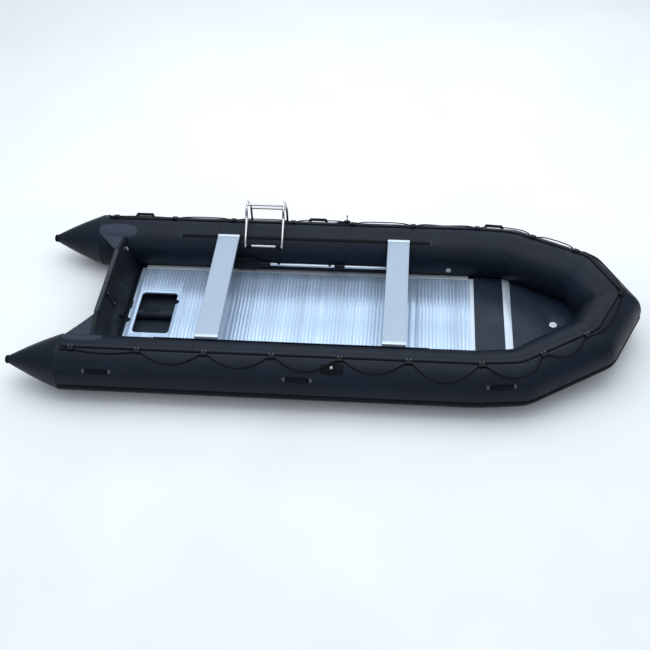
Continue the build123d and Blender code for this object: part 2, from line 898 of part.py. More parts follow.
# Bright profile on the front edge of the floor

end_wall = 8.0
end_lip = 2.5
with BuildPart() as front_floor_profile:
    with BuildSketch(Plane.XY.offset(floor_top - floor_thickness)):
        with Locations((x_at(front_edge) + end_wall / 2, 0)):
            Rectangle(end_wall, 2 * floor_half_width)
    extrude(amount=floor_thickness + clearance)
    with BuildSketch(Plane.XY.offset(floor_top + clearance)):
        with Locations((x_at(front_edge) + end_wall - end_profile_width / 2, 0)):
            Rectangle(end_profile_width, 2 * floor_half_width)
    extrude(amount=end_lip)
save(front_floor_profile.part, "front_floor_profile")

# Side stringers that grip the panels and bear on the tubes

slot_low = floor_top - floor_thickness - 2 * clearance - joiner_lift
slot_high = floor_top + 2 * clearance + max(joiner_lift, end_lip)
stringer_low = slot_low - 5.0
stringer_high = stringer_low + stringer_height + 2.0
tube_rise = tube_radius - stringer_high
stringer_outer = tube_half_spacing - sqrt((tube_radius + clearance) ** 2 - tube_rise**2)
stringer_start = floor_start + 45.0
stringer_end = front_edge - 40.0
stringer_chamfer = 22.0
with BuildPart() as side_stringers:
    with BuildSketch(Plane(origin=(x_at(stringer_start), 0, 0), x_dir=(0, 1, 0), z_dir=(1, 0, 0))):
        with BuildLine():
            Polyline(
                (stringer_inner, stringer_low),
                (stringer_outer, stringer_low),
                (stringer_outer, stringer_high),
                (stringer_inner, stringer_high),
                (stringer_inner, slot_high),
                (floor_half_width + clearance, slot_high),
                (floor_half_width + clearance, slot_low),
                (stringer_inner, slot_low),
                close=True,
            )
        make_face()
    extrude(amount=stringer_end - stringer_start)
    upright = side_stringers.edges().filter_by(Axis.Z).group_by(Axis.X)[0]
    chamfer(upright.group_by(Axis.Y)[0], stringer_chamfer * 0.7)
    mirror(about=Plane.XZ)
save(side_stringers.part, "side_stringers")

# Bow floor: two black boards and a pale strip over their joint

board_low = 105.0
board_thickness = 12.0
board_joint = 4015.0
board_gap = 4.0
strip_width = 70.0
strip_thickness = 2.5
bow_inset = 0.4 * tube_radius
keel_valve_station = 4430.0
keel_valve_radius = 35.0
keel_hole_radius = 26.0


def inset_corner(vertex):
    before = run_outboard(vertex - 1)
    after = run_outboard(vertex)
    return tube_axis[vertex] - (before + after) * (bow_inset / (1 + before.dot(after)))


bow_half = [(p.X, p.Y) for p in (inset_corner(1), inset_corner(2), inset_corner(3))]
bow_tip = (tube_axis[4].X - bow_inset / sin(radians(stem_angle)), 0)
bow_back = x_at(front_edge) + end_wall + clearance
bow_outline = [(bow_back - deep, bow_half[0][1])] + bow_half + [bow_tip]
bow_outline += [(px, -py) for px, py in reversed(bow_half)] + [(bow_back - deep, -bow_half[0][1])]


def bow_board(start, end, low, thickness):
    with BuildPart() as board:
        with BuildSketch(Plane.XY.offset(low)):
            with BuildLine():
                Polyline(*bow_outline, close=True)
            make_face()
            with Locations(((start + end) / 2, 0)):
                Rectangle(end - start, 4 * tube_half_spacing, mode=Mode.INTERSECT)
        extrude(amount=thickness)
        add(tube_space.part, mode=Mode.SUBTRACT)
    return board.part


aft_blank = bow_board(bow_back, x_at(board_joint) - board_gap / 2, board_low, board_thickness)
fore_blank = bow_board(x_at(board_joint) + board_gap / 2, tube_axis[4].X, board_low, board_thickness)
with BuildPart() as bow_boards:
    add(aft_blank)
    add(fore_blank)
    with Locations((x_at(keel_valve_station), 0, board_low + board_thickness)):
        Hole(keel_hole_radius + clearance)
save(bow_boards.part, "bow_boards")

strip_low = board_low + board_thickness + glue_gap
strip_start = x_at(board_joint) - strip_width / 2
strip_blank = bow_board(strip_start, strip_start + strip_width, strip_low, strip_thickness)
with BuildPart() as bow_strip:
    add(strip_blank)
save(bow_strip.part, "bow_strip")

# Valves: a barrel through the skin with a flange, and a cap that turns to open

valve_flange = 4.0
valve_barrel = 26.0
cap_height = 11.0
cap_grip = 8.0
tube_valve_radius = 27.0
tube_valve_station = 3457.0
tube_valve_angle = -97.0

with BuildPart() as keel_valve_body:
    with BuildSketch(Plane.XY.offset(strip_low)):
        with Locations((x_at(keel_valve_station), 0)):
            Circle(keel_valve_radius)
    extrude(amount=valve_flange)
    with BuildSketch(Plane.XY.offset(strip_low)):
        with Locations((x_at(keel_valve_station), 0)):
            Circle(keel_hole_radius)
    extrude(amount=-valve_barrel)
save(keel_valve_body.part, "keel_valve_body")


def valve_cap(seat, radius):
    """A turned cap with a raised finger bar."""
    with BuildPart() as cap:
        with BuildSketch(seat):
            Circle(radius)
        extrude(amount=cap_height - cap_grip)
        with BuildSketch(seat):
            Rectangle(2 * radius - 12, 9)
        extrude(amount=cap_height)
    return cap.part


keel_seat = Plane(origin=(x_at(keel_valve_station), 0, strip_low + valve_flange + clearance))
with BuildPart() as keel_valve_cap:
    add(valve_cap(keel_seat, keel_valve_radius - 7))
save(keel_valve_cap.part, "keel_valve_cap")

valve_skin = skin_plane(0, tube_valve_station, tube_valve_angle, 0)
with BuildPart() as tube_valve_bodies:
    with BuildSketch(valve_skin.offset(-valve_flange)):
        Circle(tube_valve_radius)
    extrude(amount=2 * valve_flange)
    add(tube_space.part, mode=Mode.SUBTRACT)
    mirror(about=Plane.XZ)
save(tube_valve_bodies.part, "tube_valve_bodies")

with BuildPart() as port_tube_valve_cap:
    add(valve_cap(valve_skin.offset(valve_flange + clearance), tube_valve_radius - 7))
save(port_tube_valve_cap.part, "port_tube_valve_cap")

with BuildPart() as starboard_tube_valve_cap:
    mirror(port_tube_valve_cap.part, about=Plane.XZ)
save(starboard_tube_valve_cap.part, "starboard_tube_valve_cap")

# Seat rails on the inboard upper side of the tubes

seat_rail_end = straight_length - seat_rail_back
seat_rail_section = strip(-seat_rail_angle, seat_rail_width, glue_gap, seat_rail_thickness)
seat_rail_piece = along_run(0, seat_rail_start, seat_rail_end, seat_rail_section)
with BuildPart() as seat_rails:
    add(seat_rail_piece)
    mirror(about=Plane.XZ)
save(seat_rails.part, "seat_rails")

# Seats: a hollow aluminium plank, an end cap at each end and a shoe that runs on each rail

rail_top_radius = tube_radius + seat_rail_thickness
seat_reach = tube_half_spacing - seat_half_length
seat_bottom = tube_radius + sqrt(rail_top_radius**2 - seat_reach**2) + 0.4
plank_wall = 3.0
plank_edge = 12.0
plank_edge_lift = 2.0
cap_proud = 3.0
shoe_length = 120.0
shoe_width = 44.0
rail_half = degrees(seat_rail_width / 2 / rail_top_radius)
rail_inner_y = tube_half_spacing - rail_top_radius * sin(radians(seat_rail_angle + rail_half))
shoe_outer = rail_inner_y - 2 * clearance
shoe_low = tube_radius + sqrt(tube_radius**2 - (tube_half_spacing - shoe_outer) ** 2) + 4 * clearance
seat_stations = {"aft": aft_seat_station, "front": straight_length - front_seat_back}

for place, station in seat_stations.items():
    plank_half = seat_half_length - seat_cap_length
    seat_view = Plane(origin=(x_at(station), plank_half, seat_bottom), z_dir=(0, -1, 0), x_dir=(1, 0, 0))
    cell = (seat_width - 4 * plank_wall) / 3
    with BuildPart() as seat_plank:
        with BuildSketch(seat_view):
            with Locations((0, seat_thickness / 2)):
                Rectangle(seat_width, seat_thickness)
            for side in (-1, 1):
                edge_x = side * (seat_width - plank_edge) / 2
                with Locations((edge_x, seat_thickness + plank_edge_lift / 2)):
                    Rectangle(plank_edge, plank_edge_lift)
            with Locations((0, seat_thickness / 2)):
                with GridLocations(cell + plank_wall, 1, 3, 1):
                    Rectangle(cell, seat_thickness - 2 * plank_wall, mode=Mode.SUBTRACT)
        extrude(amount=2 * plank_half)
    save(seat_plank.part, place + "_seat_plank")

    with BuildPart() as seat_ends:
        with BuildSketch(Plane.XY.offset(seat_bottom)):
            with Locations((x_at(station), seat_half_length - seat_cap_length / 2)):
                RectangleRounded(seat_width + cap_proud, seat_cap_length, 5)
        extrude(amount=seat_thickness + plank_edge_lift + cap_proud)
        with BuildSketch(Plane.XY.offset(shoe_low)):
            with Locations((x_at(station), shoe_outer - shoe_width / 2)):
                RectangleRounded(shoe_length, shoe_width, 6)
        extrude(amount=seat_bottom - shoe_low)
        mirror(about=Plane.XZ)
    save(seat_ends.part, place + "_seat_ends")

# Oars, stowed in clips on the inboard side of the tubes

oar_y = tube_half_spacing - tube_radius - oar_offset
oar_end = oar_station + oar_length
blade_socket = 90.0
socket_radius = 19.0
shaft_wall = 1.5
sleeve_gap = 0.1
collar_start = 2350.0
collar_length = 100.0
collar_radius = 22.0
grip_length = 110.0
grip_radius = 17.5
blade_end = oar_station + blade_length
clip_stations = (1790.0, 2290.0)
clip_length = 26.0
clip_half_height = 22.0


def oar_round(start, end, radius, hole):
    """A tube on the oar's axis between two stations."""
    with BuildPart() as piece:
        with BuildSketch(Plane(origin=(x_at(start), oar_y, oar_height), x_dir=(0, 1, 0), z_dir=(1, 0, 0))):
            Circle(radius)
            if hole > 0:
                Circle(hole, mode=Mode.SUBTRACT)
        extrude(amount=end - start)
    return piece.part


shaft_hole = oar_shaft_radius + sleeve_gap
shaft_tube = oar_round(blade_end - blade_socket, oar_end - 4, oar_shaft_radius, oar_shaft_radius - shaft_wall)
socket_tube = oar_round(blade_end - blade_socket - 20, blade_end, socket_radius, 0)
socket_bore = oar_round(blade_end - blade_socket - sleeve_gap, blade_end, shaft_hole, 0)
collar_tube = oar_round(collar_start, collar_start + collar_length, collar_radius - 3, shaft_hole)
collar_rim = oar_round(collar_start, collar_start + 12, collar_radius, shaft_hole)
collar_end = oar_round(collar_start + collar_length - 12, collar_start + collar_length, collar_radius, shaft_hole)
grip_tube = oar_round(oar_end - grip_length, oar_end, grip_radius, 0)
grip_bore = oar_round(oar_end - grip_length, oar_end - 4 + sleeve_gap, shaft_hole, 0)
blade_view = Plane(origin=(0, oar_y, 0), x_dir=(1, 0, 0), z_dir=(0, -1, 0))

with BuildPart() as port_oar_shaft:
    add(shaft_tube)
save(port_oar_shaft.part, "port_oar_shaft")

with BuildPart() as port_oar_blade:
    with BuildSketch(blade_view):
        with BuildLine():
            Polyline(
                (x_at(oar_station), oar_height - blade_width / 2 + 8),
                (x_at(oar_station), oar_height + blade_width / 2 - 8),
                (x_at(blade_end - 150), oar_height + blade_width / 2),
                (x_at(blade_end - 70), oar_height + socket_radius),
                (x_at(blade_end - 70), oar_height - socket_radius),
                (x_at(blade_end - 150), oar_height - blade_width / 2),
                close=True,
            )
        make_face()
    extrude(amount=blade_thickness / 2, both=True)
    fillet(port_oar_blade.edges().filter_by(Axis.Y).group_by(Axis.X)[0], 26)
    add(socket_tube)
    add(socket_bore, mode=Mode.SUBTRACT)
save(port_oar_blade.part, "port_oar_blade")

with BuildPart() as port_oar_sleeves:
    add(grip_tube)
    add(grip_bore, mode=Mode.SUBTRACT)
    add(collar_tube)
    add(collar_rim)
    add(collar_end)
save(port_oar_sleeves.part, "port_oar_sleeves")

port_oar = {"shaft": port_oar_shaft, "blade": port_oar_blade, "sleeves": port_oar_sleeves}
for piece_name, piece in port_oar.items():
    with BuildPart() as mirrored_piece:
        mirror(piece.part, about=Plane.XZ)
    save(mirrored_piece.part, "starboard_oar_" + piece_name)

clips = []
for station in clip_stations:
    with BuildPart() as clip:
        with BuildSketch(Plane(origin=(x_at(station), oar_y, oar_height), x_dir=(0, 1, 0), z_dir=(1, 0, 0))):
            with Locations(((oar_offset + 6 - oar_shaft_radius) / 2, 0)):
                Rectangle(oar_offset + 6 + oar_shaft_radius, 2 * clip_half_height)
            Circle(oar_shaft_radius + clearance, mode=Mode.SUBTRACT)
            with Locations((-oar_shaft_radius, 0)):
                Rectangle(2 * oar_shaft_radius, 2 * (oar_shaft_radius + clearance), mode=Mode.SUBTRACT)
        extrude(amount=clip_length)
        add(tube_space.part, mode=Mode.SUBTRACT)
    clips.append(clip.part)
with BuildPart() as oar_clips:
    for clip in clips:
        add(clip)
    mirror(about=Plane.XZ)
save(oar_clips.part, "oar_clips")

# Boarding ladder over the port tube: fixed arms inboard, and a hoop frame that swings up on two pins

pivot_y = tube_half_spacing + 8.0
pivot_z = 599.0
eye_radius = 15.0
eye_half = 5.0
cheek_gap = 0.5
cheek_thickness = 7.5
pin_bore = 4.0
pin_run = 0.06
pipe_gap = 18.0
arm_reach = tube_radius + seat_rail_thickness + ladder_pipe + 0.8
arm_end_angle = 55.0
leg_y = tube_half_spacing + tube_radius + strake_thickness + ladder_pipe + 2.0
leg_low = 70.0
rung_heights = (100.0, 300.0, 500.0)
rung_radius = 11.0
foot_radius = 18.0
foot_length = 48.0


def ladder_view(side):
    """The plane of one side of the ladder: local X runs to port and local Y up."""
    return Plane(
        origin=(x_at(ladder_station) + side * ladder_half_width, 0, 0), x_dir=(0, 1, 0), z_dir=(1, 0, 0)
    )


def arm_spot(angle):
    return (tube_half_spacing - arm_reach * sin(radians(angle)), tube_radius + arm_reach * cos(radians(angle)))


pivot_rise = pivot_z - tube_radius
tangent_angle = 90 - degrees(asin(arm_reach / sqrt(pivot_rise**2 + 8.0**2))) - degrees(asin(8.0 / pivot_rise))
touch = arm_spot(tangent_angle)
arm_lead = Vector(touch[0] - pivot_y, touch[1] - pivot_z).normalized()
arm_top = (pivot_y + arm_lead.X * pipe_gap, pivot_z + arm_lead.Y * pipe_gap)
arm_mid = arm_spot((tangent_angle + arm_end_angle) / 2)
hoop_lean = 20.0
hoop_crown = 112.0
crown_z = ladder_peak - ladder_pipe
hoop_points = [
    (pivot_y, pivot_z + pipe_gap),
    (pivot_y + hoop_lean, crown_z),
    (pivot_y + hoop_lean + hoop_crown, crown_z),
    (leg_y, 520.0),
    (leg_y, leg_low),
]

arms = []
hoops = []
for side in (-1, 1):
    view = ladder_view(side)
    arm_start = view.from_local_coords((arm_top[0], arm_top[1], 0))
    with BuildPart() as arm:
        with BuildLine(view):
            Line(arm_top, touch)
            ThreePointArc(touch, arm_mid, arm_spot(arm_end_angle))
        with BuildSketch(Plane(origin=arm_start, z_dir=Vector(0, arm_lead.X, arm_lead.Y))):
            Circle(ladder_pipe)
        sweep()
        with BuildSketch(view):
            with Locations((pivot_y, pivot_z)):
                Circle(eye_radius)
            with BuildLine():
                Polyline(
                    (pivot_y - 11 * arm_lead.Y, pivot_z + 11 * arm_lead.X),
                    (pivot_y + 11 * arm_lead.Y, pivot_z - 11 * arm_lead.X),
                    (arm_top[0] + 11 * arm_lead.Y + 5 * arm_lead.X, arm_top[1] - 11 * arm_lead.X + 5 * arm_lead.Y),
                    (arm_top[0] - 11 * arm_lead.Y + 5 * arm_lead.X, arm_top[1] + 11 * arm_lead.X + 5 * arm_lead.Y),
                    close=True,
                )
            make_face()
        extrude(amount=eye_half, both=True)
        with BuildSketch(view):
            with Locations((pivot_y, pivot_z)):
                Circle(pin_bore)
        extrude(amount=2 * eye_half, both=True, mode=Mode.SUBTRACT)
    arms.append(arm.part)

    with BuildPart() as hoop:
        with BuildLine(view):
            FilletPolyline(*hoop_points, radius=[52, 58, 130])
        with BuildSketch(Plane(origin=view.from_local_coords(hoop_points[0]), z_dir=(0, hoop_lean, crown_z - pivot_z - pipe_gap))):
            Circle(ladder_pipe)
        sweep()
        for inner in (-1, 1):
            cheek_middle = inner * (eye_half + cheek_gap + cheek_thickness / 2)
            with BuildSketch(view.offset(cheek_middle)):
                with Locations((pivot_y, pivot_z)):
                    Circle(eye_radius)
                with Locations((pivot_y + 1.5, pivot_z + pipe_gap / 2 + 3)):
                    Rectangle(22, pipe_gap + 6)
                with Locations((pivot_y, pivot_z)):
                    Circle(pin_bore + pin_run, mode=Mode.SUBTRACT)
            extrude(amount=cheek_thickness / 2, both=True)
    hoops.append(hoop.part)

bar_ends = ladder_half_width - ladder_pipe / 2
with BuildPart() as ladder_frame:
    for hoop in hoops:
        add(hoop)
    with BuildSketch(Plane(origin=(x_at(ladder_station) - bar_ends, 0, 0), x_dir=(0, 1, 0), z_dir=(1, 0, 0))):
        with Locations((pivot_y + hoop_lean + hoop_crown / 2, crown_z)):
            Circle(rung_radius)
        for height in rung_heights:
            with Locations((leg_y, height)):
                Circle(rung_radius)
    extrude(amount=2 * bar_ends)
save(ladder_frame.part, "ladder_frame")

foot_spot = arm_spot(arm_end_angle - 3)
with BuildPart() as ladder_arms:
    for arm in arms:
        add(arm)
    with BuildSketch(Plane(origin=(x_at(ladder_station) - bar_ends, 0, 0), x_dir=(0, 1, 0), z_dir=(1, 0, 0))):
        with Locations(foot_spot):
            Circle(rung_radius)
    extrude(amount=2 * bar_ends)
save(ladder_arms.part, "ladder_arms")

with BuildPart() as ladder_feet:
    for side in (-1, 1):
        foot_x = x_at(ladder_station) + side * (ladder_half_width - ladder_pipe - 1 - foot_length / 2)
        with BuildSketch(Plane(origin=(foot_x, 0, 0), x_dir=(0, 1, 0), z_dir=(1, 0, 0))):
            with Locations(foot_spot):
                Circle(foot_radius)
                Circle(rung_radius + sleeve_gap, mode=Mode.SUBTRACT)
        extrude(amount=foot_length / 2, both=True)
    add(tube_space.part, mode=Mode.SUBTRACT)
save(ladder_feet.part, "ladder_feet")

pin_half = eye_half + cheek_gap + cheek_thickness + 2.5
with BuildPart() as ladder_pins:
    for side in (-1, 1):
        with BuildSketch(ladder_view(side)):
            with Locations((pivot_y, pivot_z)):
                Circle(pin_bore - 0.01)
        extrude(amount=pin_half, both=True)
save(ladder_pins.part, "ladder_pins")
print("ladder pivot", x_at(ladder_station), pivot_y, pivot_z)

# Webbing loop in the hatch, stitched to the keel

strap_width = 28.0
strap_thickness = 3.0
strap_station = 640.0
strap_rise = 46.0
loop_view = Plane(origin=(0, 10.0, keel_top + glue_gap), x_dir=(1, 0, 0), z_dir=(0, -1, 0))
with BuildPart() as hatch_strap:
    with BuildSketch(loop_view):
        with Locations((x_at(strap_station), 0)):
            Ellipse(62, strap_rise)
            Ellipse(62 - strap_thickness, strap_rise - strap_thickness, mode=Mode.SUBTRACT)
        with Locations((x_at(strap_station), -strap_rise)):
            Rectangle(200, 2 * strap_rise, mode=Mode.SUBTRACT)
        with Locations((x_at(strap_station), strap_thickness / 2)):
            Rectangle(170, strap_thickness)
    extrude(amount=strap_width / 2, both=True)
save(hatch_strap.part, "hatch_strap")
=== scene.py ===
import json
import math

import bmesh
import bpy
from mathutils import Matrix, Vector, noise


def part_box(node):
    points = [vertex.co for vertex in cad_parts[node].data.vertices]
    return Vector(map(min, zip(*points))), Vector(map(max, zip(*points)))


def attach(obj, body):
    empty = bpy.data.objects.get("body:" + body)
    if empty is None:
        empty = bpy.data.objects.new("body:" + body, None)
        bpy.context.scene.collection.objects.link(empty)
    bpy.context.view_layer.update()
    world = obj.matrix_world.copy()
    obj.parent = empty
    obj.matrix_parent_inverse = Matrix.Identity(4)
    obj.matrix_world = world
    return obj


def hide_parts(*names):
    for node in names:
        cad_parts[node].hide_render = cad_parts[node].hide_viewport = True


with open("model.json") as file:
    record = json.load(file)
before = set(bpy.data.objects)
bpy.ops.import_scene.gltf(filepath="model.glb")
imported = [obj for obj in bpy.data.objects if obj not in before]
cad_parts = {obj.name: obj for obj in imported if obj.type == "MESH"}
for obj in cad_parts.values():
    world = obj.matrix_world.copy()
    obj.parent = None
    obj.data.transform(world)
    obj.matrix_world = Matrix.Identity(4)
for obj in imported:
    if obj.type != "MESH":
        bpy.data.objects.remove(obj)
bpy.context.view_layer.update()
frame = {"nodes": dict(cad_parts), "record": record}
nodes = frame["nodes"]

# Main sizes, in metres: the tubes' are read from the frame, the bends are repeated from the design

tube_low, tube_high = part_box("side_tubes")
TUBE_RADIUS = (tube_high.z - tube_low.z) / 2
HALF_SPACING = tube_high.y - TUBE_RADIUS
AXIS_HEIGHT = (tube_high.z + tube_low.z) / 2
BASE_X = tube_low.x
cone_low, cone_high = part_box("stern_cones")
CONE_LENGTH = cone_high.x - cone_low.x
TIP_RADIUS = 0.034
STRAIGHT = 3.69
# Each run forward of the straight tube: its length, its angle inboard and its rise
SHOULDER_RUN, SHOULDER_ANGLE, SHOULDER_RISE = 0.372, 5.4, 0.008
QUARTER_RUN, QUARTER_ANGLE, QUARTER_RISE = 0.742, 30.4, 0.054
STEM_ANGLE, STEM_RISE = 63.4, 0.008


def inboard_step(length, degrees, rise):
    angle = math.radians(degrees)
    return Vector((length * math.cos(angle), -length * math.sin(angle), 0)) + Vector((0, 0, rise))


base_point = Vector((BASE_X, HALF_SPACING, AXIS_HEIGHT))
shoulder_point = base_point + Vector((STRAIGHT, 0, 0))
quarter_point = shoulder_point + inboard_step(SHOULDER_RUN, SHOULDER_ANGLE, SHOULDER_RISE)
nose_point = quarter_point + inboard_step(QUARTER_RUN, QUARTER_ANGLE, QUARTER_RISE)
stem_run = nose_point.y / math.sin(math.radians(STEM_ANGLE))
stem_point = nose_point + inboard_step(stem_run, STEM_ANGLE, STEM_RISE)
AXIS = [base_point, shoulder_point, quarter_point, nose_point, stem_point]
UP = Vector((0, 0, 1))


def heading(run):
    return (AXIS[run + 1] - AXIS[run]).normalized()


def run_length(run):
    return (AXIS[run + 1] - AXIS[run]).length


def outboard(run):
    along = heading(run)
    return Vector((-along.y, along.x, 0)).normalized()


def section_up(run):
    return heading(run).cross(outboard(run))


def radial(run, degrees):
    angle = math.radians(degrees)
    return outboard(run) * math.sin(angle) + section_up(run) * math.cos(angle)


def on_tube(run, distance, degrees, height):
    """A point at an angle from the tube's top and a height above its skin."""
    return AXIS[run] + heading(run) * distance + radial(run, degrees) * (TUBE_RADIUS + height)


def flipped(point):
    return Vector((point[0], -point[1], point[2]))


# Materials: every finish is a node tree of its own


class Finish:
    def __init__(self, name, colour, roughness, metallic=0.0, specular=0.5):
        self.material = bpy.data.materials.new(name)
        self.material.use_nodes = True
        self.tree = self.material.node_tree
        self.shader = self.tree.nodes["Principled BSDF"]
        self.shader.inputs["Metallic"].default_value = metallic
        self.shader.inputs["Specular IOR Level"].default_value = specular
        self.colour = colour
        self.roughness = roughness
        self.place = self.node("ShaderNodeTexCoord").outputs["Object"]
        self.last_bump = None

    def node(self, kind, **settings):
        made = self.tree.nodes.new(kind)
        for key, value in settings.items():
            setattr(made, key, value)
        return made

    def link(self, a, b):
        self.tree.links.new(a, b)

    def mapped(self, scale):
        mapping = self.node("ShaderNodeMapping")
        mapping.inputs["Scale"].default_value = scale
        self.link(self.place, mapping.inputs["Vector"])
        return mapping.outputs["Vector"]

    def noise(self, scale, detail=4.0, stretch=(1, 1, 1), rough=0.55):
        made = self.node("ShaderNodeTexNoise")
        made.inputs["Scale"].default_value = scale
        made.inputs["Detail"].default_value = detail
        made.inputs["Roughness"].default_value = rough
        self.link(self.mapped(stretch), made.inputs["Vector"])
        return made.outputs["Fac"]

    def ramp(self, factor, stops):
        made = self.node("ShaderNodeValToRGB")
        elements = made.color_ramp.elements
        while len(elements) < len(stops):
            elements.new(0.5)
        for element, (place, colour) in zip(elements, stops):
            element.position = place
            element.color = (*colour, 1)
        self.link(factor, made.inputs["Fac"])
        return made.outputs["Color"]

    def mix(self, factor, a, b, how="MIX"):
        made = self.node("ShaderNodeMix", data_type="RGBA", blend_type=how)
        for socket, value in ((made.inputs[0], factor), (made.inputs[6], a), (made.inputs[7], b)):
            if isinstance(value, bpy.types.NodeSocket):
                self.link(value, socket)
            elif isinstance(value, (int, float)):
                socket.default_value = value
            else:
                socket.default_value = (*value, 1)
        return made.outputs[2]

    def spread(self, factor, low, high):
        made = self.node("ShaderNodeMapRange")
        made.inputs["From Min"].default_value = 0.3
        made.inputs["From Max"].default_value = 0.7
        made.inputs["To Min"].default_value = low
        made.inputs["To Max"].default_value = high
        self.link(factor, made.inputs["Value"])
        return made.outputs["Result"]

    def bump(self, height, depth, strength=1.0):
        made = self.node("ShaderNodeBump")
        made.inputs["Distance"].default_value = depth
        made.inputs["Strength"].default_value = strength
        self.link(height, made.inputs["Height"])
        if self.last_bump is not None:
            self.link(self.last_bump, made.inputs["Normal"])
        self.last_bump = made.outputs["Normal"]

    def wave(self, scale, axis):
        made = self.node("ShaderNodeTexWave", wave_type="BANDS", bands_direction=axis)
        made.inputs["Scale"].default_value = scale
        made.inputs["Distortion"].default_value = 0.0
        self.link(self.mapped((1, 1, 1)), made.inputs["Vector"])
        return made.outputs["Fac"]

    def edge_wear(self, colour, worn):
        """Edges lighter, from the surface's own pointiness."""
        geometry = self.node("ShaderNodeNewGeometry")
        edge = self.ramp(geometry.outputs["Pointiness"], [(0.52, (0, 0, 0)), (0.6, (0.35,) * 3)])
        return self.mix(edge, colour, worn)

    def close(self, colour, roughness):
        self.link(colour, self.shader.inputs["Base Color"])
        self.link(roughness, self.shader.inputs["Roughness"])
        if self.last_bump is not None:
            self.link(self.last_bump, self.shader.inputs["Normal"])
        return self.material


def shade(colour, factor):
    return tuple(min(1.0, c * factor) for c in colour)


WEAVE_DEPTH = 0.00006
WEAVE_SCALE = 420
BLOTCH = 0.25


def coated_fabric(name, colour, roughness):
    """PVC-coated fabric: faint blotches, a fine weave under the coat, dust and scuffs."""
    f = Finish(name, colour, roughness, specular=0.16)
    broad = f.noise(2.3, 3)
    tone = f.ramp(broad, [(0.3, shade(colour, 1 - BLOTCH)), (0.7, shade(colour, 1 + BLOTCH))])
    dust = f.ramp(f.noise(34, 6, rough=0.7), [(0.52, (0, 0, 0)), (0.8, (0.16,) * 3)])
    tone = f.mix(dust, tone, shade(colour, 2.6))
    scuffs = f.ramp(f.noise(9, 8, (1, 7, 7), 0.75), [(0.62, (0, 0, 0)), (0.74, (0.22,) * 3)])
    tone = f.mix(scuffs, tone, shade(colour, 2.2))
    f.bump(f.wave(WEAVE_SCALE, "X"), WEAVE_DEPTH, 0.5)
    f.bump(f.wave(WEAVE_SCALE, "DIAGONAL"), WEAVE_DEPTH, 0.5)
    f.bump(f.noise(7, 3), 0.0018, 0.5)
    f.bump(f.noise(60, 4), 0.0002, 0.4)
    return f.close(tone, f.spread(f.noise(5, 6, rough=0.65), roughness - 0.07, roughness + 0.1))


GRAIN_SCALE = 260
GRAIN_DEPTH = 0.00012


def moulded(name, colour, roughness, wear=1.9, specular=0.2):
    """Moulded rubber or plastic with a fine grain and paler worn edges."""
    f = Finish(name, colour, roughness, specular=specular)
    tone = f.ramp(f.noise(14, 4), [(0.3, shade(colour, 0.82)), (0.7, shade(colour, 1.18))])
    tone = f.edge_wear(tone, shade(colour, wear))
    f.bump(f.noise(GRAIN_SCALE, 3), GRAIN_DEPTH, 0.6)
    return f.close(tone, f.spread(f.noise(22, 5), roughness - 0.06, roughness + 0.09))


STREAK_SCALE = 26


def metal(name, colour, roughness, metallic, stretch, scratches=0.12, streak=0.1):
    """Drawn or brushed metal: streaks along the extrusion, scratches and a few dull spots."""
    f = Finish(name, colour, roughness, metallic)
    lines = f.noise(STREAK_SCALE, 5, stretch, 0.7)
    tone = f.ramp(lines, [(0.3, shade(colour, 1 - streak)), (0.7, shade(colour, 1 + streak))])
    spots = f.ramp(f.noise(48, 5), [(0.6, (0, 0, 0)), (0.75, (scratches,) * 3)])
    tone = f.mix(spots, tone, shade(colour, 0.5))
    f.bump(lines, 0.00012, 0.35)
    return f.close(tone, f.spread(f.noise(11, 6, stretch), roughness - 0.08, roughness + 0.1))


def floor_plate(name, colour):
    """Ribbed floor extrusion: planks of slightly different tone, rib shadows, boot scuffs."""
    f = Finish(name, colour, 0.42, 0.6)
    planks = f.noise(5.5, 2, (1, 0.0, 0.0), 0.4)
    tone = f.ramp(planks, [(0.25, shade(colour, 0.74)), (0.5, colour), (0.75, shade(colour, 1.14))])
    fine = f.ramp(f.noise(46, 4, (1, 0.0, 0.0), 0.75), [(0.36, (0.5,) * 3), (0.5, (0, 0, 0))])
    tone = f.mix(fine, tone, shade(colour, 0.5))
    dull = f.ramp(f.noise(4, 2, rough=0.4), [(0.4, (0, 0, 0)), (0.8, (0.2,) * 3)])
    tone = f.mix(dull, tone, shade(colour, 0.8))
    f.bump(f.wave(4.8, "X"), 0.0006, 0.4)
    f.bump(f.noise(160, 2, (1, 0.05, 1)), 0.00004, 0.3)
    return f.close(tone, f.spread(f.noise(5, 2), 0.28, 0.38))


def rope_finish(name, colour):
    """Rope: fibres of uneven tone with a faint sheen."""
    f = Finish(name, colour, 0.72, specular=0.08)
    f.shader.inputs["Sheen Weight"].default_value = 0.04
    tone = f.ramp(f.noise(300, 4), [(0.3, shade(colour, 0.6)), (0.7, shade(colour, 1.7))])
    f.bump(f.noise(900, 3), 0.0003, 0.8)
    return f.close(tone, f.spread(f.noise(200, 3), 0.62, 0.82))


def webbing_finish(name, colour):
    """Webbing: ribs of the weave both ways."""
    f = Finish(name, colour, 0.7, specular=0.1)
    f.shader.inputs["Sheen Weight"].default_value = 0.03
    tone = f.ramp(f.wave(160, "X"), [(0.2, shade(colour, 0.7)), (0.8, shade(colour, 1.3))])
    f.bump(f.wave(160, "X"), 0.0003, 0.8)
    f.bump(f.wave(160, "Y"), 0.0003, 0.8)
    return f.close(tone, f.spread(f.noise(90, 3), 0.6, 0.8))


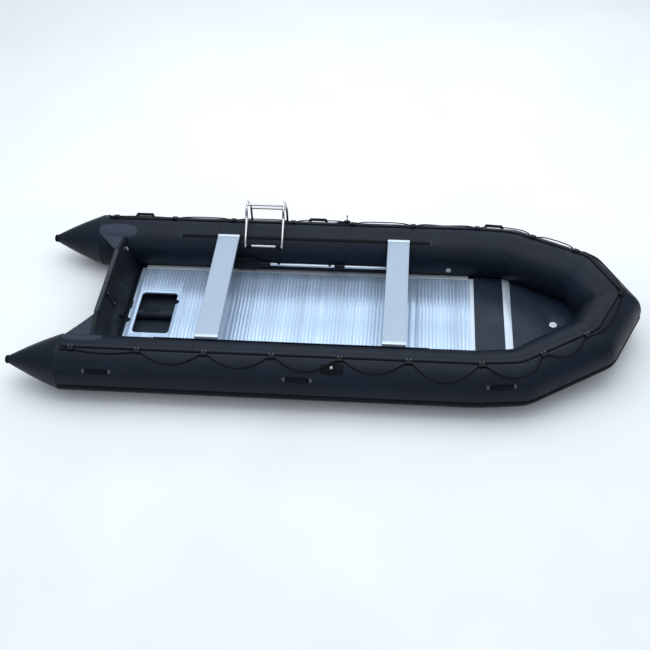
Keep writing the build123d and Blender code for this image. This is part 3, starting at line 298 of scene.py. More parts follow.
def board_finish(name, colour):
    """Painted board with a low orange-peel coat, scuffs and dust."""
    f = Finish(name, colour, 0.38, specular=0.22)
    tone = f.ramp(f.noise(3, 4), [(0.3, shade(colour, 0.8)), (0.7, shade(colour, 1.25))])
    dust = f.ramp(f.noise(16, 8, rough=0.75), [(0.5, (0, 0, 0)), (0.78, (0.3,) * 3)])
    tone = f.mix(dust, tone, shade(colour, 2.4))
    f.bump(f.noise(120, 3), 0.00025, 0.5)
    return f.close(tone, f.spread(f.noise(8, 6), 0.3, 0.5))


FINISHES = {
    # The tube fabric is a bluish black, and part of its blue is painted sky light.
    "tube_pvc": coated_fabric("pvc_black_sky_tinted", (0.0035, 0.0072, 0.0150), 0.42),
    "bottom_pvc": coated_fabric("pvc_bottom", (0.010, 0.016, 0.026), 0.55),
    "black_rubber": moulded("rubber_black", (0.0018, 0.0025, 0.0045), 0.55, specular=0.1),
    "grey_pvc": coated_fabric("pvc_patch", (0.022, 0.031, 0.048), 0.5),
    "grab_rope": rope_finish("rope_black", (0.0016, 0.0022, 0.0040)),
    "webbing": webbing_finish("webbing_black", (0.009, 0.012, 0.019)),
    # The boards' blue tint is painted sky light on their black paint.
    "black_board": board_finish("board_black_sky_lit", (0.011, 0.018, 0.032)),
    "dark_trim": moulded("trim_dark", (0.06, 0.07, 0.085), 0.42),
    "black_plastic": moulded("plastic_black", (0.0026, 0.0034, 0.0055), 0.4, specular=0.14),
    "white_plastic": moulded("plastic_white", (0.62, 0.66, 0.72), 0.42, wear=1.1),
    "grey_valve": moulded("plastic_grey", (0.36, 0.38, 0.40), 0.45, wear=1.2),
    # The blue in the floor's and the seats' aluminium colours is a painted reflection of a blue sky.
    "floor_aluminium": floor_plate("floor_ribbed_sky_tinted", (0.45, 0.57, 0.74)),
    "grey_aluminium": metal("aluminium_grey", (0.46, 0.49, 0.53), 0.44, 0.4, (1, 14, 14)),
    "seat_aluminium": metal("aluminium_seat_sky_tinted", (0.32, 0.385, 0.475), 0.5, 0.3, (14, 1, 14), streak=0.05),
    "pale_aluminium": metal("aluminium_pale", (0.52, 0.58, 0.66), 0.38, 0.5, (14, 1, 14)),
    "stainless": metal("steel_polished", (0.50, 0.49, 0.48), 0.14, 1.0, (3, 3, 3), 0.05, 0.06),
}

NODE_SLOT = {}
for part in frame["record"]["subparts"]:
    name = part["node"]
    slot = part.get("material_slot")
    if name in nodes and slot in FINISHES:
        NODE_SLOT[name] = slot


def dress(obj, slot):
    obj.data.materials.clear()
    obj.data.materials.append(FINISHES[slot])


OWN_FINISH = {
    "holder_screws": metal("steel_dull", (0.12, 0.14, 0.18), 0.42, 0.8, (3, 3, 3)),
    # The transom gets a darker copy of the board finish: painted shade on the upright board, whose paint is
    # the bow boards' black.
    "transom_board": board_finish("transom_coat_painted_shade", (0.007, 0.009, 0.014)),
    "motor_plates": moulded("motor_pad", (0.005, 0.006, 0.008), 0.5),
    "transom_edge_cap": moulded("transom_trim", (0.030, 0.036, 0.045), 0.42),
}

WELD_DISTANCE = 0.00002
EDGE_WIDTH = 0.0009
EDGE_ANGLE = math.radians(38)
CREASE_ANGLE = math.radians(34)

for name, obj in nodes.items():
    slot = NODE_SLOT.get(name, "black_plastic")
    dress(obj, slot)
    if name in OWN_FINISH:
        obj.data.materials[0] = OWN_FINISH[name]
    for polygon in obj.data.polygons:
        polygon.use_smooth = True
        polygon.material_index = 0
    weld = obj.modifiers.new("weld", "WELD")
    weld.merge_threshold = WELD_DISTANCE
    edge = obj.modifiers.new("edge", "BEVEL")
    edge.width = EDGE_WIDTH
    edge.segments = 2
    edge.limit_method = "ANGLE"
    edge.angle_limit = EDGE_ANGLE
    crease = obj.modifiers.new("crease", "EDGE_SPLIT")
    crease.split_angle = CREASE_ANGLE


def piece(name, points, faces, slot, stands_for=()):
    """A new smooth mesh on the hull, in place of the nodes that it stands for."""
    data = bpy.data.meshes.new(name)
    data.from_pydata([tuple(p) for p in points], [], faces)
    data.validate()
    made = bpy.data.objects.new(name, data)
    bpy.context.scene.collection.objects.link(made)
    clean = bmesh.new()
    clean.from_mesh(data)
    bmesh.ops.recalc_face_normals(clean, faces=clean.faces)
    clean.to_mesh(data)
    clean.free()
    for polygon in data.polygons:
        polygon.use_smooth = True
    dress(made, slot)
    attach(made, "hull")
    if stands_for:
        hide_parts(*stands_for)
    return made


# Inflated tube skins: one set of lines along the hull, rounded where the fabric is mitred

AROUND = 96
# How far past a corner its rings lie
NEAR = [0.0, 0.008, 0.016, 0.024, 0.034, 0.046, 0.060, 0.078, 0.100, 0.125]
# How far a mitre's rounding reaches, and how much more on the outer side
MITRE_REACH = 0.045
OUTER_REACH = 0.03
STEM_OUTER_REACH = -0.012
FOLD_WIDTH, FOLD_DEPTH = 0.06, 0.006
SEAM_WIDTH, SEAM_DEPTH = 0.012, 0.0012


def corner_point(vertex, degrees):
    """Where the skin's line at this angle turns from one run to the next."""
    before, after = max(vertex - 1, 0), min(vertex, len(AXIS) - 2)
    if vertex == len(AXIS) - 1:
        normal = Vector((0, 1, 0))
    elif vertex == 0:
        normal = heading(0)
    else:
        normal = heading(before) + heading(after)
    found = []
    for run in {before, after}:
        start = AXIS[run] + radial(run, degrees) * TUBE_RADIUS
        along = heading(run)
        found.append(start + along * ((AXIS[vertex] - start).dot(normal) / along.dot(normal)))
    return sum(found, Vector()) / len(found)


def bend_at(vertex):
    if vertex == 0:
        return 0.0
    if vertex == len(AXIS) - 1:
        return math.radians(2 * (90 - STEM_ANGLE))
    return heading(vertex - 1).angle(heading(vertex))


def past_corner(vertex, degrees, offset):
    """The skin's line near a corner: negative offsets are before it."""
    corner = corner_point(vertex, degrees)
    before = heading(max(vertex - 1, 0))
    if vertex == len(AXIS) - 1:
        after = Vector((-before.x, before.y, -before.z))
    else:
        after = heading(vertex)
    outer = 0.5 + 0.5 * math.sin(math.radians(degrees))
    reach = MITRE_REACH + (OUTER_REACH if vertex < len(AXIS) - 1 else STEM_OUTER_REACH) * outer
    offset = offset * (0.8 + 0.2 * outer)
    if offset <= -reach:
        point = corner + before * offset
    elif offset >= reach:
        point = corner + after * offset
    else:
        t = (offset + reach) / (2 * reach)
        point = (
            (corner - before * reach) * (1 - t) ** 2
            + corner * (2 * t * (1 - t))
            + (corner + after * reach) * t**2
        )
    bend = bend_at(vertex)
    inner = 1 - outer
    fold = math.exp(-((offset / FOLD_WIDTH) ** 2)) * bend * inner**1.5
    ripple = 0.5 + 0.5 * math.sin(math.radians(degrees) * 17 + vertex * 2.1)
    ripple2 = 0.5 + 0.5 * math.sin(math.radians(degrees) * 9 + offset * 40 + vertex)
    dip = fold * (FOLD_DEPTH * ripple + FOLD_DEPTH * ripple2)
    dip += SEAM_DEPTH * math.exp(-((offset / SEAM_WIDTH) ** 2)) * (1.0 if bend else 0.4)
    run = min(max(vertex - (1 if offset < 0 else 0), 0), len(AXIS) - 2)
    return point - radial(run, degrees) * dip


def rings_of(run):
    """Rings of skin points from one corner of a run to the next."""
    rings = []
    angles = [360 * step / AROUND for step in range(AROUND)]
    for offset in NEAR:
        rings.append([past_corner(run, a, offset) for a in angles])
    steps = max(3, round(run_length(run) / 0.09))
    last = [past_corner(run + 1, a, -NEAR[-1]) for a in angles]
    first = rings[-1]
    for step in range(1, steps):
        share = step / steps
        rings.append([p.lerp(q, share) for p, q in zip(first, last)])
    for offset in reversed(NEAR):
        rings.append([past_corner(run + 1, a, -offset) for a in angles])
    return rings


CONE_STEPS = 30
CONE_FULLNESS = 0.010


def cone_rings():
    """Rings of a stern cone, puckered at both ends."""
    rings = []
    for step in range(CONE_STEPS + 1):
        share = step / CONE_STEPS
        taper = TUBE_RADIUS + (TIP_RADIUS - TUBE_RADIUS) * share
        full = CONE_FULLNESS * math.sin(math.pi * share)
        radius = min(TUBE_RADIUS, taper + full)
        ring = []
        for turn_step in range(AROUND):
            a = math.radians(360 * turn_step / AROUND)
            pucker = 0.0022 * math.exp(-(((1 - share) / 0.14) ** 2)) * math.sin(a * 12)
            pucker += 0.0016 * math.exp(-((share / 0.08) ** 2)) * math.sin(a * 15 + 1)
            reach = radius - abs(pucker)
            y = HALF_SPACING + reach * math.sin(a)
            z = AXIS_HEIGHT + reach * math.cos(a)
            ring.append(Vector((BASE_X - CONE_LENGTH * share, y, z)))
        rings.append(ring)
    return rings


def tube_mesh(ring_sets):
    points, faces = [], []
    for rings in ring_sets:
        start = len(points)
        count = len(rings[0])
        for ring in rings:
            points += ring
        for row in range(len(rings) - 1):
            for column in range(count):
                beside = (column + 1) % count
                a = start + row * count
                b = a + count
                faces.append((a + column, a + beside, b + beside, b + column))
    return points, faces


def mirrored(rings):
    return [[flipped(p) for p in ring] for ring in rings]


side = rings_of(0)
quarter = rings_of(1)[:-1] + rings_of(2)
stem = rings_of(3)
cones = cone_rings()
piece("side_tube_skins", *tube_mesh([side, mirrored(side)]), "tube_pvc", ["side_tubes"])
piece("bow_quarter_skins", *tube_mesh([quarter, mirrored(quarter)]), "tube_pvc", ["bow_quarter_tubes"])
piece("stem_skin", *tube_mesh([stem, mirrored(stem)]), "tube_pvc", ["stem_tube"])
piece("stern_cone_skins", *tube_mesh([cones, mirrored(cones)]), "tube_pvc", ["stern_cones"])


MITRE_TAPE_LIFT = 0.0009
BAFFLE_TAPE_LIFT = 0.0007
TAPE_EDGE = -0.0004


def band(rings, lift):
    """A glued seam tape: the same rings, a little proud of the skin, with its edges tucked in."""
    out = []
    for index, ring in enumerate(rings):
        centre = sum(ring, Vector()) / len(ring)
        edge = index in (0, len(rings) - 1)
        height = TAPE_EDGE if edge else lift
        out.append([p + (p - centre).normalized() * height for p in ring])
    return out


seam_rings = []
for vertex in range(len(AXIS)):
    angles = [360 * step / AROUND for step in range(AROUND)]
    if vertex == 0:
        offsets = [0.0, 0.001, 0.012, 0.024, 0.025]
    elif vertex == len(AXIS) - 1:
        offsets = [-0.021, -0.020, -0.01, 0.0]
    else:
        offsets = [-0.021, -0.020, -0.010, 0.0, 0.010, 0.020, 0.021]
    ring_set = [[past_corner(vertex, a, o) for a in angles] for o in offsets]
    made = band(ring_set, MITRE_TAPE_LIFT)
    seam_rings += [made, mirrored(made)]
baffle_low, baffle_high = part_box("chamber_baffles")
for place in (baffle_low.x, baffle_high.x):
    ring_set = []
    for shift in (-0.016, -0.015, 0.0, 0.015, 0.016):
        ring_set.append(
            [on_tube(0, place - BASE_X + shift, 360 * step / AROUND, 0) for step in range(AROUND)]
        )
    made = band(ring_set, BAFFLE_TAPE_LIFT)
    seam_rings += [made, mirrored(made)]
piece("seam_tapes", *tube_mesh(seam_rings), "tube_pvc")


# Strips that run round the hull on the skin: strake, taped band and grab rail


def skin_line(degrees, start):
    """Points of the skin's line at one angle, from a station on the straight tube to the stem."""
    line = [on_tube(0, start, degrees, 0)]
    for run in range(len(AXIS) - 1):
        ahead_of = past_corner(run + 1, degrees, -NEAR[-1])
        behind = line[0] if run == 0 else past_corner(run, degrees, NEAR[-1])
        if run:
            line += [past_corner(run, degrees, offset) for offset in NEAR[1:]]
        steps = max(3, round(run_length(run) / 0.06))
        line += [behind.lerp(ahead_of, step / steps) for step in range(1, steps)]
        line += [past_corner(run + 1, degrees, -offset) for offset in reversed(NEAR)]
    return line


def strip_round_hull(name, slot, stands_for, profile, start):
    """profile is the section: (angle, height above the skin) pairs, in order round it."""
    lines = []
    for degrees, height in profile:
        line = skin_line(degrees, start)
        line.append(flipped(line[-2]))
        out = []
        for index, point in enumerate(line[:-1]):
            ahead_now = (line[index + 1] - line[max(index - 1, 0)]).normalized()
            level = Vector((-ahead_now.y, ahead_now.x, 0)).normalized()
            lifted = ahead_now.cross(level)
            a = math.radians(degrees)
            out.append(point + (level * math.sin(a) + lifted * math.cos(a)) * height)
        lines.append(out)
    count = len(lines[0])
    rings = [[line[index] for line in lines] for index in range(count)]
    first = rings[0]
    middle = sum(first, Vector()) / len(first)
    end_cap = [middle.lerp(p, 0.02) for p in first]
    end_shoulder = [middle.lerp(p, 0.8) + heading(0) * 0.0002 for p in first]
    rings = [end_cap, end_shoulder] + rings
    whole_rings = rings + [[flipped(p) for p in ring] for ring in reversed(rings[:-1])]
    return piece(name, *tube_mesh([whole_rings]), slot, stands_for)


def arc_degrees(length):
    return math.degrees(length / TUBE_RADIUS)


def two_sided(angle, half, shape):
    """A section from one half's (share of the half width, height) pairs, edge first."""
    near = [(angle - half * share, height) for share, height in shape]
    far = [(angle + half * share, height) for share, height in reversed(shape)]
    return near + far


# The strake has a shallow groove along its middle
STRAKE_ANGLE, STRAKE_HALF, STRAKE_HEIGHT = 105.0, arc_degrees(0.031), 0.011
GROOVE = 0.0025
strake_shape = [(1, -0.001), (1, 0.002), (0.86, 0.0035), (0.72, 0.0085)]
strake_shape += [(0.5, STRAKE_HEIGHT), (0.22, STRAKE_HEIGHT), (0.12, STRAKE_HEIGHT - GROOVE)]
strake_profile = two_sided(STRAKE_ANGLE, STRAKE_HALF, strake_shape)
strake_low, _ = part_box("rubbing_strake")
strip_round_hull("strake_rubber", "black_rubber", ["rubbing_strake"], strake_profile, strake_low.x - BASE_X)

RAIL = 11.0
TAPE_HALF = arc_degrees(0.032)
tape_low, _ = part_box("rail_tape")
tape_profile = [
    (RAIL - TAPE_HALF, -0.0005),
    (RAIL - TAPE_HALF, 0.0008),
    (RAIL - TAPE_HALF * 0.9, 0.0012),
    (RAIL, 0.0012),
    (RAIL + TAPE_HALF * 0.9, 0.0012),
    (RAIL + TAPE_HALF, 0.0008),
    (RAIL + TAPE_HALF, -0.0005),
]
rail_band = strip_round_hull("rail_band", "tube_pvc", ["rail_tape"], tape_profile, tape_low.x - BASE_X)
# The band's lighter tone is a painted highlight: the sheen that falls on the fabric just under the rail.
rail_band.data.materials[0] = coated_fabric("pvc_band_painted_highlight", (0.0085, 0.0140, 0.0250), 0.4)

RAIL_HALF, RAIL_HEIGHT = arc_degrees(0.011), 0.013
rail_low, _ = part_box("grab_rail")
rail_shape = [(1, 0.0013), (1, 0.006), (0.8, 0.0105), (0.4, RAIL_HEIGHT)]
rail_profile = two_sided(RAIL, RAIL_HALF, rail_shape)
strip_round_hull("rail_rubber", "black_rubber", ["grab_rail"], rail_profile, rail_low.x - BASE_X)


def patch_set(name, slot, patches, stands_for=()):
    """Patches and their mirror images, as one piece."""
    points, faces = [], []
    for spots, quads in patches:
        for flip in (False, True):
            start = len(points)
            points += [flipped(p) if flip else p for p in spots]
            faces += [tuple(start + i for i in (q[::-1] if flip else q)) for q in quads]
    return piece(name, points, faces, slot, stands_for)


# The bottom and keel: the outline of their CAD nodes, divided finely and moved by a slight ripple


def fabric_copy(name, node, slot, longest, ripple, seed):
    made = bmesh.new()
    made.from_mesh(nodes[node].data)
    bmesh.ops.remove_doubles(made, verts=made.verts, dist=WELD_DISTANCE)
    for _ in range(5):
        long_edges = [e for e in made.edges if e.calc_length() > longest]
        if not long_edges:
            break
        bmesh.ops.subdivide_edges(made, edges=long_edges, cuts=1)
        bmesh.ops.triangulate(made, faces=[f for f in made.faces if len(f.verts) > 3])
    made.normal_update()
    shift = Vector((seed * 3.1, seed * 1.7, seed * 0.9))
    moves = [noise.noise(v.co * 9 + shift) * ripple for v in made.verts]
    for vertex, move in zip(made.verts, moves):
        vertex.co += vertex.normal * move
        vertex.co.z = max(vertex.co.z, 0.0)
    data = bpy.data.meshes.new(name)
    made.to_mesh(data)
    made.free()
    for polygon in data.polygons:
        polygon.use_smooth = True
    obj = bpy.data.objects.new(name, data)
    bpy.context.scene.collection.objects.link(obj)
    dress(obj, slot)
    crease = obj.modifiers.new("crease", "EDGE_SPLIT")
    crease.split_angle = CREASE_ANGLE
    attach(obj, "hull")
    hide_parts(node)
    return obj


fabric_copy("bottom_fabric", "bottom_skin", "bottom_pvc", 0.09, 0.002, 1)
fabric_copy("keel_fabric", "keel_tube", "bottom_pvc", 0.06, 0.0015, 2)

# Chamber baffles: discs of fabric inside the side tubes, bowed by the fuller chamber

FABRIC_THICKNESS = 0.0015
BAFFLE_BOW = 0.012


def baffle_rings(station):
    rim = TUBE_RADIUS - 0.003
    reaches = [0.001 + (rim - 0.001) * step / 12 for step in range(13)]
    outline = [(reach, 0.0) for reach in reaches]
    outline += [(reach, FABRIC_THICKNESS) for reach in reversed(reaches)]
    rings = []
    for reach, depth in outline:
        bow = BAFFLE_BOW * (1 - (reach / rim) ** 2)
        middle = AXIS[0] + Vector((station + bow + depth, 0, 0))
        rings.append([middle + radial(0, 360 * step / AROUND) * reach for step in range(AROUND)])
    return rings


baffle_sets = []
for place in (baffle_low.x, baffle_high.x):
    disc = baffle_rings(place - BASE_X)
    baffle_sets += [disc, mirrored(disc)]
piece("baffle_fabric", *tube_mesh(baffle_sets), "tube_pvc", ["chamber_baffles"])

# Gussets: three-cornered sheets between the transom's back and the tubes, with a hemmed free edge

GUSSET_STEPS = 28
GUSSET_THICKNESS = 0.0028
GUSSET_SAG = 0.006
HEM_THICKNESS = 0.0012
GLUE = 0.0004
gusset_spots = [v.co.copy() for v in nodes["transom_gussets"].data.vertices if v.co.y > 0]
gusset_inner = min(gusset_spots, key=lambda spot: spot.y)
gusset_aft = min(gusset_spots, key=lambda spot: spot.x)
free_edge = (gusset_aft - gusset_inner).normalized()


def off_free_edge(spot):
    away = spot - gusset_inner
    return (away - free_edge * away.dot(free_edge)).length


gusset_outer = max(gusset_spots, key=off_free_edge)
gusset_up = (gusset_outer - gusset_inner).cross(gusset_aft - gusset_inner).normalized()
if gusset_up.z < 0:
    gusset_up = -gusset_up


def gusset_spot(row, column, height):
    along, inward = row / GUSSET_STEPS, 0.985 * column / GUSSET_STEPS
    spot = gusset_inner.lerp(gusset_aft, along).lerp(gusset_outer, inward)
    sag = GUSSET_SAG * math.sin(math.pi * along) * (1 - inward)
    hem = HEM_THICKNESS * math.exp(-((inward / 0.05) ** 2))
    spot += gusset_up * (height * (1 + hem / GUSSET_THICKNESS) - sag)
    off_axis = Vector((0, spot.y - HALF_SPACING, spot.z - AXIS_HEIGHT))
    if off_axis.length < TUBE_RADIUS + GLUE + height:
        spot += off_axis.normalized() * (TUBE_RADIUS + GLUE + height - off_axis.length)
    return spot


def gusset_sheet():
    side_count = GUSSET_STEPS + 1
    layers = (0.0, GUSSET_THICKNESS)
    points = [gusset_spot(r, c, h) for h in layers for r in range(side_count) for c in range(side_count)]
    half = side_count * side_count
    faces = []
    for r in range(GUSSET_STEPS):
        for c in range(GUSSET_STEPS):
            a = r * side_count + c
            faces.append((a, a + 1, a + side_count + 1, a + side_count))
            faces.append(tuple(half + i for i in (a, a + side_count, a + side_count + 1, a + 1)))
    rim = list(range(side_count))
    rim += [r * side_count + GUSSET_STEPS for r in range(1, side_count)]
    rim += [GUSSET_STEPS * side_count + c for c in reversed(range(GUSSET_STEPS))]
    rim += [r * side_count for r in reversed(range(1, GUSSET_STEPS))]
    for a, b in zip(rim, rim[1:] + rim[:1]):
        faces.append((a, b, half + b, half + a))
    return points, faces


patch_set("gusset_fabric", "grey_pvc", [gusset_sheet()], ["transom_gussets"])

# Hatch strap: a loop of webbing sewn down at both ends

strap_low, strap_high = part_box("hatch_strap")
strap_middle = (strap_low + strap_high) / 2
STRAP_THICKNESS = 0.003
STRAP_LOOP = 0.062
strap_half = (strap_high.x - strap_low.x) / 2
strap_side = (strap_high.y - strap_low.y) / 2
loop_reach = STRAP_LOOP - STRAP_THICKNESS / 2
loop_rise = strap_high.z - strap_low.z - STRAP_THICKNESS
strap_line = [(-strap_half + (strap_half - STRAP_LOOP) * step / 6, 0.0) for step in range(6)]
for step in range(33):
    swing = math.pi * (1 - step / 32)
    strap_line.append((loop_reach * math.cos(swing), loop_rise * math.sin(swing)))
strap_line += [(STRAP_LOOP + (strap_half - STRAP_LOOP) * step / 6, 0.0) for step in range(1, 7)]
HALF_THICK = STRAP_THICKNESS / 2
# Its section in half widths and half thicknesses, thicker at the two selvedges
upper_side = [(-1.0, 0.5), (-0.94, 1.0), (-0.8, 0.8), (0.8, 0.8), (0.94, 1.0), (1.0, 0.5)]
lower_side = [(1.0, -0.5), (0.94, -1.0), (0.8, -0.8), (-0.8, -0.8), (-0.94, -1.0)]
strap_section = [(-1.0, -0.5)] + upper_side + lower_side
strap_rings = []
for index, (x, z) in enumerate(strap_line):
    before = strap_line[max(index - 1, 0)]
    after = strap_line[min(index + 1, len(strap_line) - 1)]
    lean = Vector((after[0] - before[0], 0, after[1] - before[1])).normalized()
    out_of = Vector((-lean.z, 0, lean.x))
    spot = Vector((strap_middle.x + x, strap_middle.y, strap_low.z + HALF_THICK + z))
    strap_rings.append(
        [spot + Vector((0, strap_side * y, 0)) + out_of * (HALF_THICK * h) for y, h in strap_section]
    )


def closed_end(ring):
    middle = sum(ring, Vector()) / len(ring)
    return [spot.lerp(middle, 0.96) for spot in ring]


strap_rings = [closed_end(strap_rings[0])] + strap_rings + [closed_end(strap_rings[-1])]
piece("strap_webbing", *tube_mesh([strap_rings]), "webbing", ["hatch_strap"])

# Oval fabric patches under the lifting handles

HANDLE_ANGLE = 60.0
HANDLES = [(0, 0.390), (0, 2.150), (1, 0.186)]
PATCH_HALF_LENGTH = 0.125
PATCH_HALF_WIDTH = 0.046
PATCH_THICKNESS = 0.0022
# How far a patch's outermost ring sinks into the skin
TUCK = 0.0006


def oval_patch(
    run,
    distance,
    degrees,
    half_length=PATCH_HALF_LENGTH,
    half_width=PATCH_HALF_WIDTH,
    thick=PATCH_THICKNESS,
    power=0.8,
):
    """A glued patch with a pressed rim: power 1 is an ellipse, and less is squarer."""
    rounds, spokes = 9, 48
    rings = []
    for layer in range(rounds + 1):
        share = layer / rounds
        rim = 0.4 * thick * math.exp(-(((share - 0.88) / 0.05) ** 2))
        height = thick * (1 - share**10) + rim - (TUCK if layer == rounds else 0)
        ring = []
        for spoke in range(spokes):
            a = 2 * math.pi * spoke / spokes
            c, s = math.cos(a), math.sin(a)
            along = half_length * share * math.copysign(abs(c) ** power, c)
            across = half_width * share * math.copysign(abs(s) ** power, s)
            bearing = degrees + math.degrees(across / TUBE_RADIUS)
            ring.append(on_tube(run, distance + along, bearing, height))
        rings.append(ring)
    return tube_mesh([rings])


handle_ovals = [oval_patch(r, d, HANDLE_ANGLE) for r, d in HANDLES]
patch_set("handle_patches", "tube_pvc", handle_ovals, ["handle_bases"])
# Pads at both ends of each handle: raised end tabs whose paler tone is a painted highlight.
WING_OFFSET = 0.112
WING_SIZE = 0.017
WING_THICKNESS = 0.0055
wings = [
    oval_patch(r, d + side * WING_OFFSET, HANDLE_ANGLE, WING_SIZE, WING_SIZE, WING_THICKNESS, 0.6)
    for r, d in HANDLES
    for side in (-1, 1)
]
patch_set("handle_wing_highlights", "dark_trim", wings)

# Oarlock bases: a lobed rubber star bonded round each boss


def star_patch(run, distance, degrees, half_length, half_width, lobes, thick):
    """A patch with a lobed outline and a raised rib on each lobe."""
    rounds, spokes = 8, 96
    rings = []
    for layer in range(rounds + 1):
        share = layer / rounds
        ring = []
        for spoke in range(spokes):
            a = 2 * math.pi * spoke / spokes
            lobe = 1 - 0.16 * share * (0.5 - 0.5 * math.cos(lobes * a))
            along = half_length * share * lobe * math.cos(a)
            across = half_width * share * lobe * math.sin(a)
            rib = 0.0028 * math.exp(-(((share - 0.72) / 0.09) ** 2)) * (0.5 + 0.5 * math.cos(lobes * a))
            height = thick * (1 - share**6) + rib - (TUCK if layer == rounds else 0)
            bearing = degrees + math.degrees(across / TUBE_RADIUS)
            ring.append(on_tube(run, distance + along, bearing, height))
        rings.append(ring)
    return tube_mesh([rings])


lock_low, lock_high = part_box("oarlock_bases")
lock_station = (lock_low.x + lock_high.x) / 2 - BASE_X
patch_set("oarlock_stars", "black_rubber", [star_patch(0, lock_station, 35, 0.094, 0.062, 7, 0.0085)])

# Transom flanges: wide rounded patches that bind the transom's head to the tube tops

flange_low, flange_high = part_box("transom_flanges")
flange_start, flange_end = flange_low.x - BASE_X, flange_high.x - BASE_X
flange_middle, flange_half = (flange_start + flange_end) / 2, (flange_end - flange_start) / 2
patch_set(
    "flange_fabric",
    "grey_pvc",
    [
        oval_patch(0, flange_middle, -27, flange_half, 0.082, 0.0016, 0.85),
        oval_patch(0, flange_middle, -27, flange_half * 0.7, 0.056, 0.0030, 0.8),
    ],
    ["transom_flanges"],
)

# Glued patches at both ends of each seat rail

rails_low, rails_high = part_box("seat_rails")
SEAT_RAIL_ANGLE = -33.5
RAIL_END_INSET = 0.012
patch_set(
    "seat_rail_patches",
    "grey_pvc",
    [
        oval_patch(0, end - BASE_X, SEAT_RAIL_ANGLE, 0.040, 0.021, thick=0.0007, power=0.75)
        for end in (rails_low.x + RAIL_END_INSET, rails_high.x - RAIL_END_INSET)
    ],
)

# Grab line: a laid rope that hangs in a swag from each holder to the next

ROPE_ANGLE = 17.6
ROPE_DIAMETER = 0.012
ROPE_LIFT = 0.010
HOLDER_LENGTH = 0.050
TUNNEL = HOLDER_LENGTH / 2 + 0.004
STEM_HALF = 0.028
FIRST_HOLDER, HOLDER_SPACING = 0.150, 0.590
holders = [(0, FIRST_HOLDER + HOLDER_SPACING * step) for step in range(6)]
holders += [(1, 0.030), (2, 0.195), (2, 0.640)]
stops = holders + [(3, run_length(3))]
SWAG_DEPTHS = [6, 23, 25, 26, 26, 38, 27, 21, 9]
SWAG_SHAPE = [0.0, 0.11, 0.30, 0.5, 0.70, 0.89, 1.0]
SWAG_LIFTS = [0.0025, 0.0025, 0.0025, 0.008, 0.008, 0.0025, 0.009, 0.014, 0.014]


def travel(place):
    run, distance = place
    return sum(run_length(r) for r in range(run)) + distance


def rope_point(way, drop, lift):
    run = 0
    while run < len(AXIS) - 2 and way > run_length(run):
        way -= run_length(run)
        run += 1
    return on_tube(run, way, ROPE_ANGLE + drop, ROPE_LIFT if drop == 0 else ROPE_DIAMETER / 2 + lift)


route = [on_tube(0, 0.080, ROPE_ANGLE, ROPE_LIFT)]
for first, second, depth, lift in zip(stops, stops[1:], SWAG_DEPTHS, SWAG_LIFTS):
    start = travel(first) + TUNNEL
    end = travel(second) - TUNNEL
    if second == stops[-1]:
        end = travel(second) - STEM_HALF - 0.004
    route.append(on_tube(first[0], first[1], ROPE_ANGLE, ROPE_LIFT))
    for share in SWAG_SHAPE:
        route.append(rope_point(start + share * (end - start), depth * 4 * share * (1 - share), lift))
whole = route + [flipped(p) for p in reversed(route)]

line = bpy.data.curves.new("grab_line_route", "CURVE")
line.dimensions = "3D"
spline = line.splines.new("NURBS")
spline.points.add(len(whole) - 1)
for control, point in zip(spline.points, whole):
    control.co = (*point, 1)
spline.order_u = 3
spline.use_endpoint_u = True
line.resolution_u = 8
route_object = bpy.data.objects.new("grab_line_route", line)
bpy.context.scene.collection.objects.link(route_object)
bpy.context.view_layer.update()
read = bpy.data.meshes.new_from_object(route_object)
rope_path = [v.co.copy() for v in read.vertices]
bpy.data.objects.remove(route_object)


def evenly(path, step):
    out = [path[0].copy()]
    left = step
    for a, b in zip(path, path[1:]):
        gap = (b - a).length
        at = left
        while at <= gap and gap > 0:
            out.append(a.lerp(b, at / gap))
            at += step
        left = at - gap
    return out


def laid_rope(path, radius, pitch, step, around=12):
    """Rings with three lobes that turn along the rope."""
    spots = evenly(path, step)
    rings = []
    across = UP.cross(spots[1] - spots[0]).normalized()
    for index, spot in enumerate(spots):
        ahead = spots[min(index + 1, len(spots) - 1)] - spots[max(index - 1, 0)]
        ahead.normalize()
        across = (across - ahead * across.dot(ahead)).normalized()
        up = ahead.cross(across)
        twist = 2 * math.pi * index * step / pitch
        ring = []
        for k in range(around):
            a = 2 * math.pi * k / around
            lobe = radius * (0.86 + 0.14 * abs(math.cos(1.5 * a)))
            ring.append(spot + across * (lobe * math.cos(a + twist)) + up * (lobe * math.sin(a + twist)))
        rings.append(ring)
    return rings, spots


rope_rings, rope_spots = laid_rope(rope_path, ROPE_DIAMETER / 2, 0.042, 0.005)
rope_points, rope_faces = tube_mesh([rope_rings])
rope = piece("grab_rope", rope_points, rope_faces, "grab_rope", ["grab_line"])
rope_length = sum((b - a).length for a, b in zip(rope_spots, rope_spots[1:]))
print("grab rope length", round(rope_length, 3))


def knot(centre, radius):
    """An overhand knot: the rope wound over itself."""
    path = []
    for step in range(61):
        t = 2 * math.pi * step / 60
        path.append(
            centre
            + Vector(
                (
                    (math.sin(t) + 2 * math.sin(2 * t)) * radius / 3.2,
                    (math.cos(t) - 2 * math.cos(2 * t)) * radius / 3.2,
                    -math.sin(3 * t) * radius / 3.2,
                )
            )
        )
    return laid_rope(path, ROPE_DIAMETER / 2 * 0.95, 0.03, 0.004)[0]


KNOT_RADIUS = 0.0085
knots = []
for flip in (False, True):
    centre = on_tube(0, 0.072, ROPE_ANGLE, 0.013)
    knots.append(knot(flipped(centre) if flip else centre, KNOT_RADIUS))
piece("rope_knots", *tube_mesh(knots), "grab_rope")

# Floor, light and camera

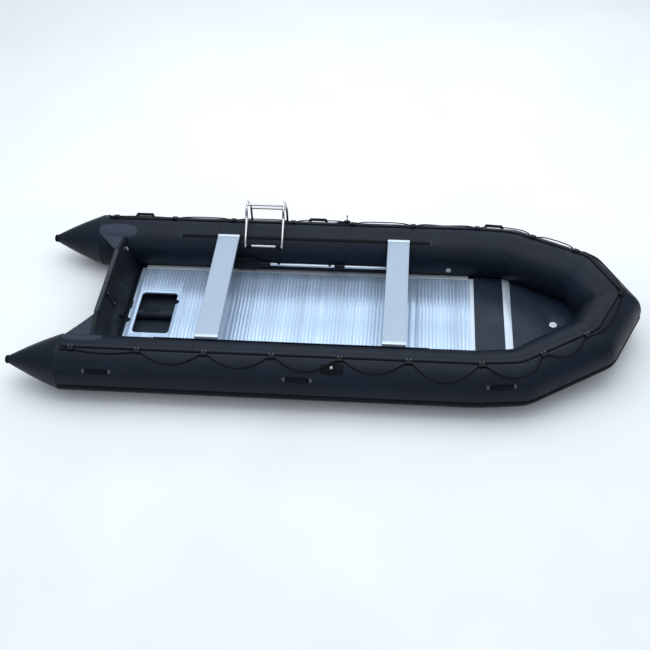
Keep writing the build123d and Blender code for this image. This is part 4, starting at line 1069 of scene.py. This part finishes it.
ground = bmesh.new()
bmesh.ops.create_grid(ground, x_segments=8, y_segments=8, size=200)
ground_data = bpy.data.meshes.new("studio_floor")
ground.to_mesh(ground_data)
ground.free()
ground_object = bpy.data.objects.new("studio_floor", ground_data)
bpy.context.scene.collection.objects.link(ground_object)
paper = Finish("paper", (0.9, 0.9, 0.9), 0.9, specular=0.1)
paper_tone = paper.ramp(paper.noise(0.8, 2), [(0.3, (0.76, 0.76, 0.765)), (0.7, (0.80, 0.80, 0.805))])
ground_data.materials.append(paper.close(paper_tone, paper.spread(paper.noise(2, 2), 0.85, 0.95)))

bpy.context.scene.view_settings.view_transform = "Standard"
bpy.context.scene.view_settings.look = "None"
world = bpy.data.worlds.new("studio")
bpy.context.scene.world = world
world.use_nodes = True
backdrop = world.node_tree.nodes["Background"]
sky_place = world.node_tree.nodes.new("ShaderNodeTexCoord")
sky_split = world.node_tree.nodes.new("ShaderNodeSeparateXYZ")
sky_ramp = world.node_tree.nodes.new("ShaderNodeValToRGB")
sky_ramp.color_ramp.elements[0].position = 0.05
sky_ramp.color_ramp.elements[0].color = (0.16, 0.19, 0.24, 1)
sky_ramp.color_ramp.elements[1].position = 0.85
sky_ramp.color_ramp.elements[1].color = (0.84, 0.93, 1.0, 1)
world.node_tree.links.new(sky_place.outputs["Generated"], sky_split.inputs["Vector"])
world.node_tree.links.new(sky_split.outputs["Z"], sky_ramp.inputs["Fac"])
world.node_tree.links.new(sky_ramp.outputs["Color"], backdrop.inputs["Color"])
backdrop.inputs["Strength"].default_value = 1.1


def softbox(name, place, aim, size, power, colour=(1, 1, 1)):
    light = bpy.data.lights.new(name, "AREA")
    light.shape = "RECTANGLE"
    light.size, light.size_y = size
    light.energy = power
    light.color = colour
    made = bpy.data.objects.new(name, light)
    made.location = place
    made.rotation_euler = (Vector(aim) - Vector(place)).to_track_quat("-Z", "Y").to_euler()
    bpy.context.scene.collection.objects.link(made)


softbox("overhead", (0, 0.8, 6.5), (0, 0, 0), (10, 6), 300, (0.97, 0.99, 1))
softbox("back_strip", (0.5, 6.5, 4.5), (0, 0, 0.3), (9, 2), 110, (0.94, 0.97, 1))
softbox("front_fill", (-1.5, -7.5, 3.0), (0, 0, 0.3), (8, 3), 40, (0.95, 0.97, 1))

CAMERA_PLACE = (0.69584, -7.091, 6.980)
CAMERA_ANGLES = (-6.037, 44.382, -1.971)
CAMERA_LENS = 57.92
yaw, pitch, roll = (math.radians(angle) for angle in CAMERA_ANGLES)
ahead = Vector((math.sin(yaw) * math.cos(pitch), math.cos(yaw) * math.cos(pitch), -math.sin(pitch)))
right = Vector((math.cos(yaw), -math.sin(yaw), 0))
above = right.cross(ahead)
camera_right = right * math.cos(roll) + above * math.sin(roll)
camera_up = above * math.cos(roll) - right * math.sin(roll)
camera_data = bpy.data.cameras.new("camera")
camera_data.lens = CAMERA_LENS
camera_data.sensor_width = 36
camera = bpy.data.objects.new("camera", camera_data)
turned = Matrix((camera_right, camera_up, -ahead)).transposed().to_4x4()
camera.matrix_world = Matrix.Translation(CAMERA_PLACE) @ turned
bpy.context.scene.collection.objects.link(camera)
bpy.context.scene.camera = camera
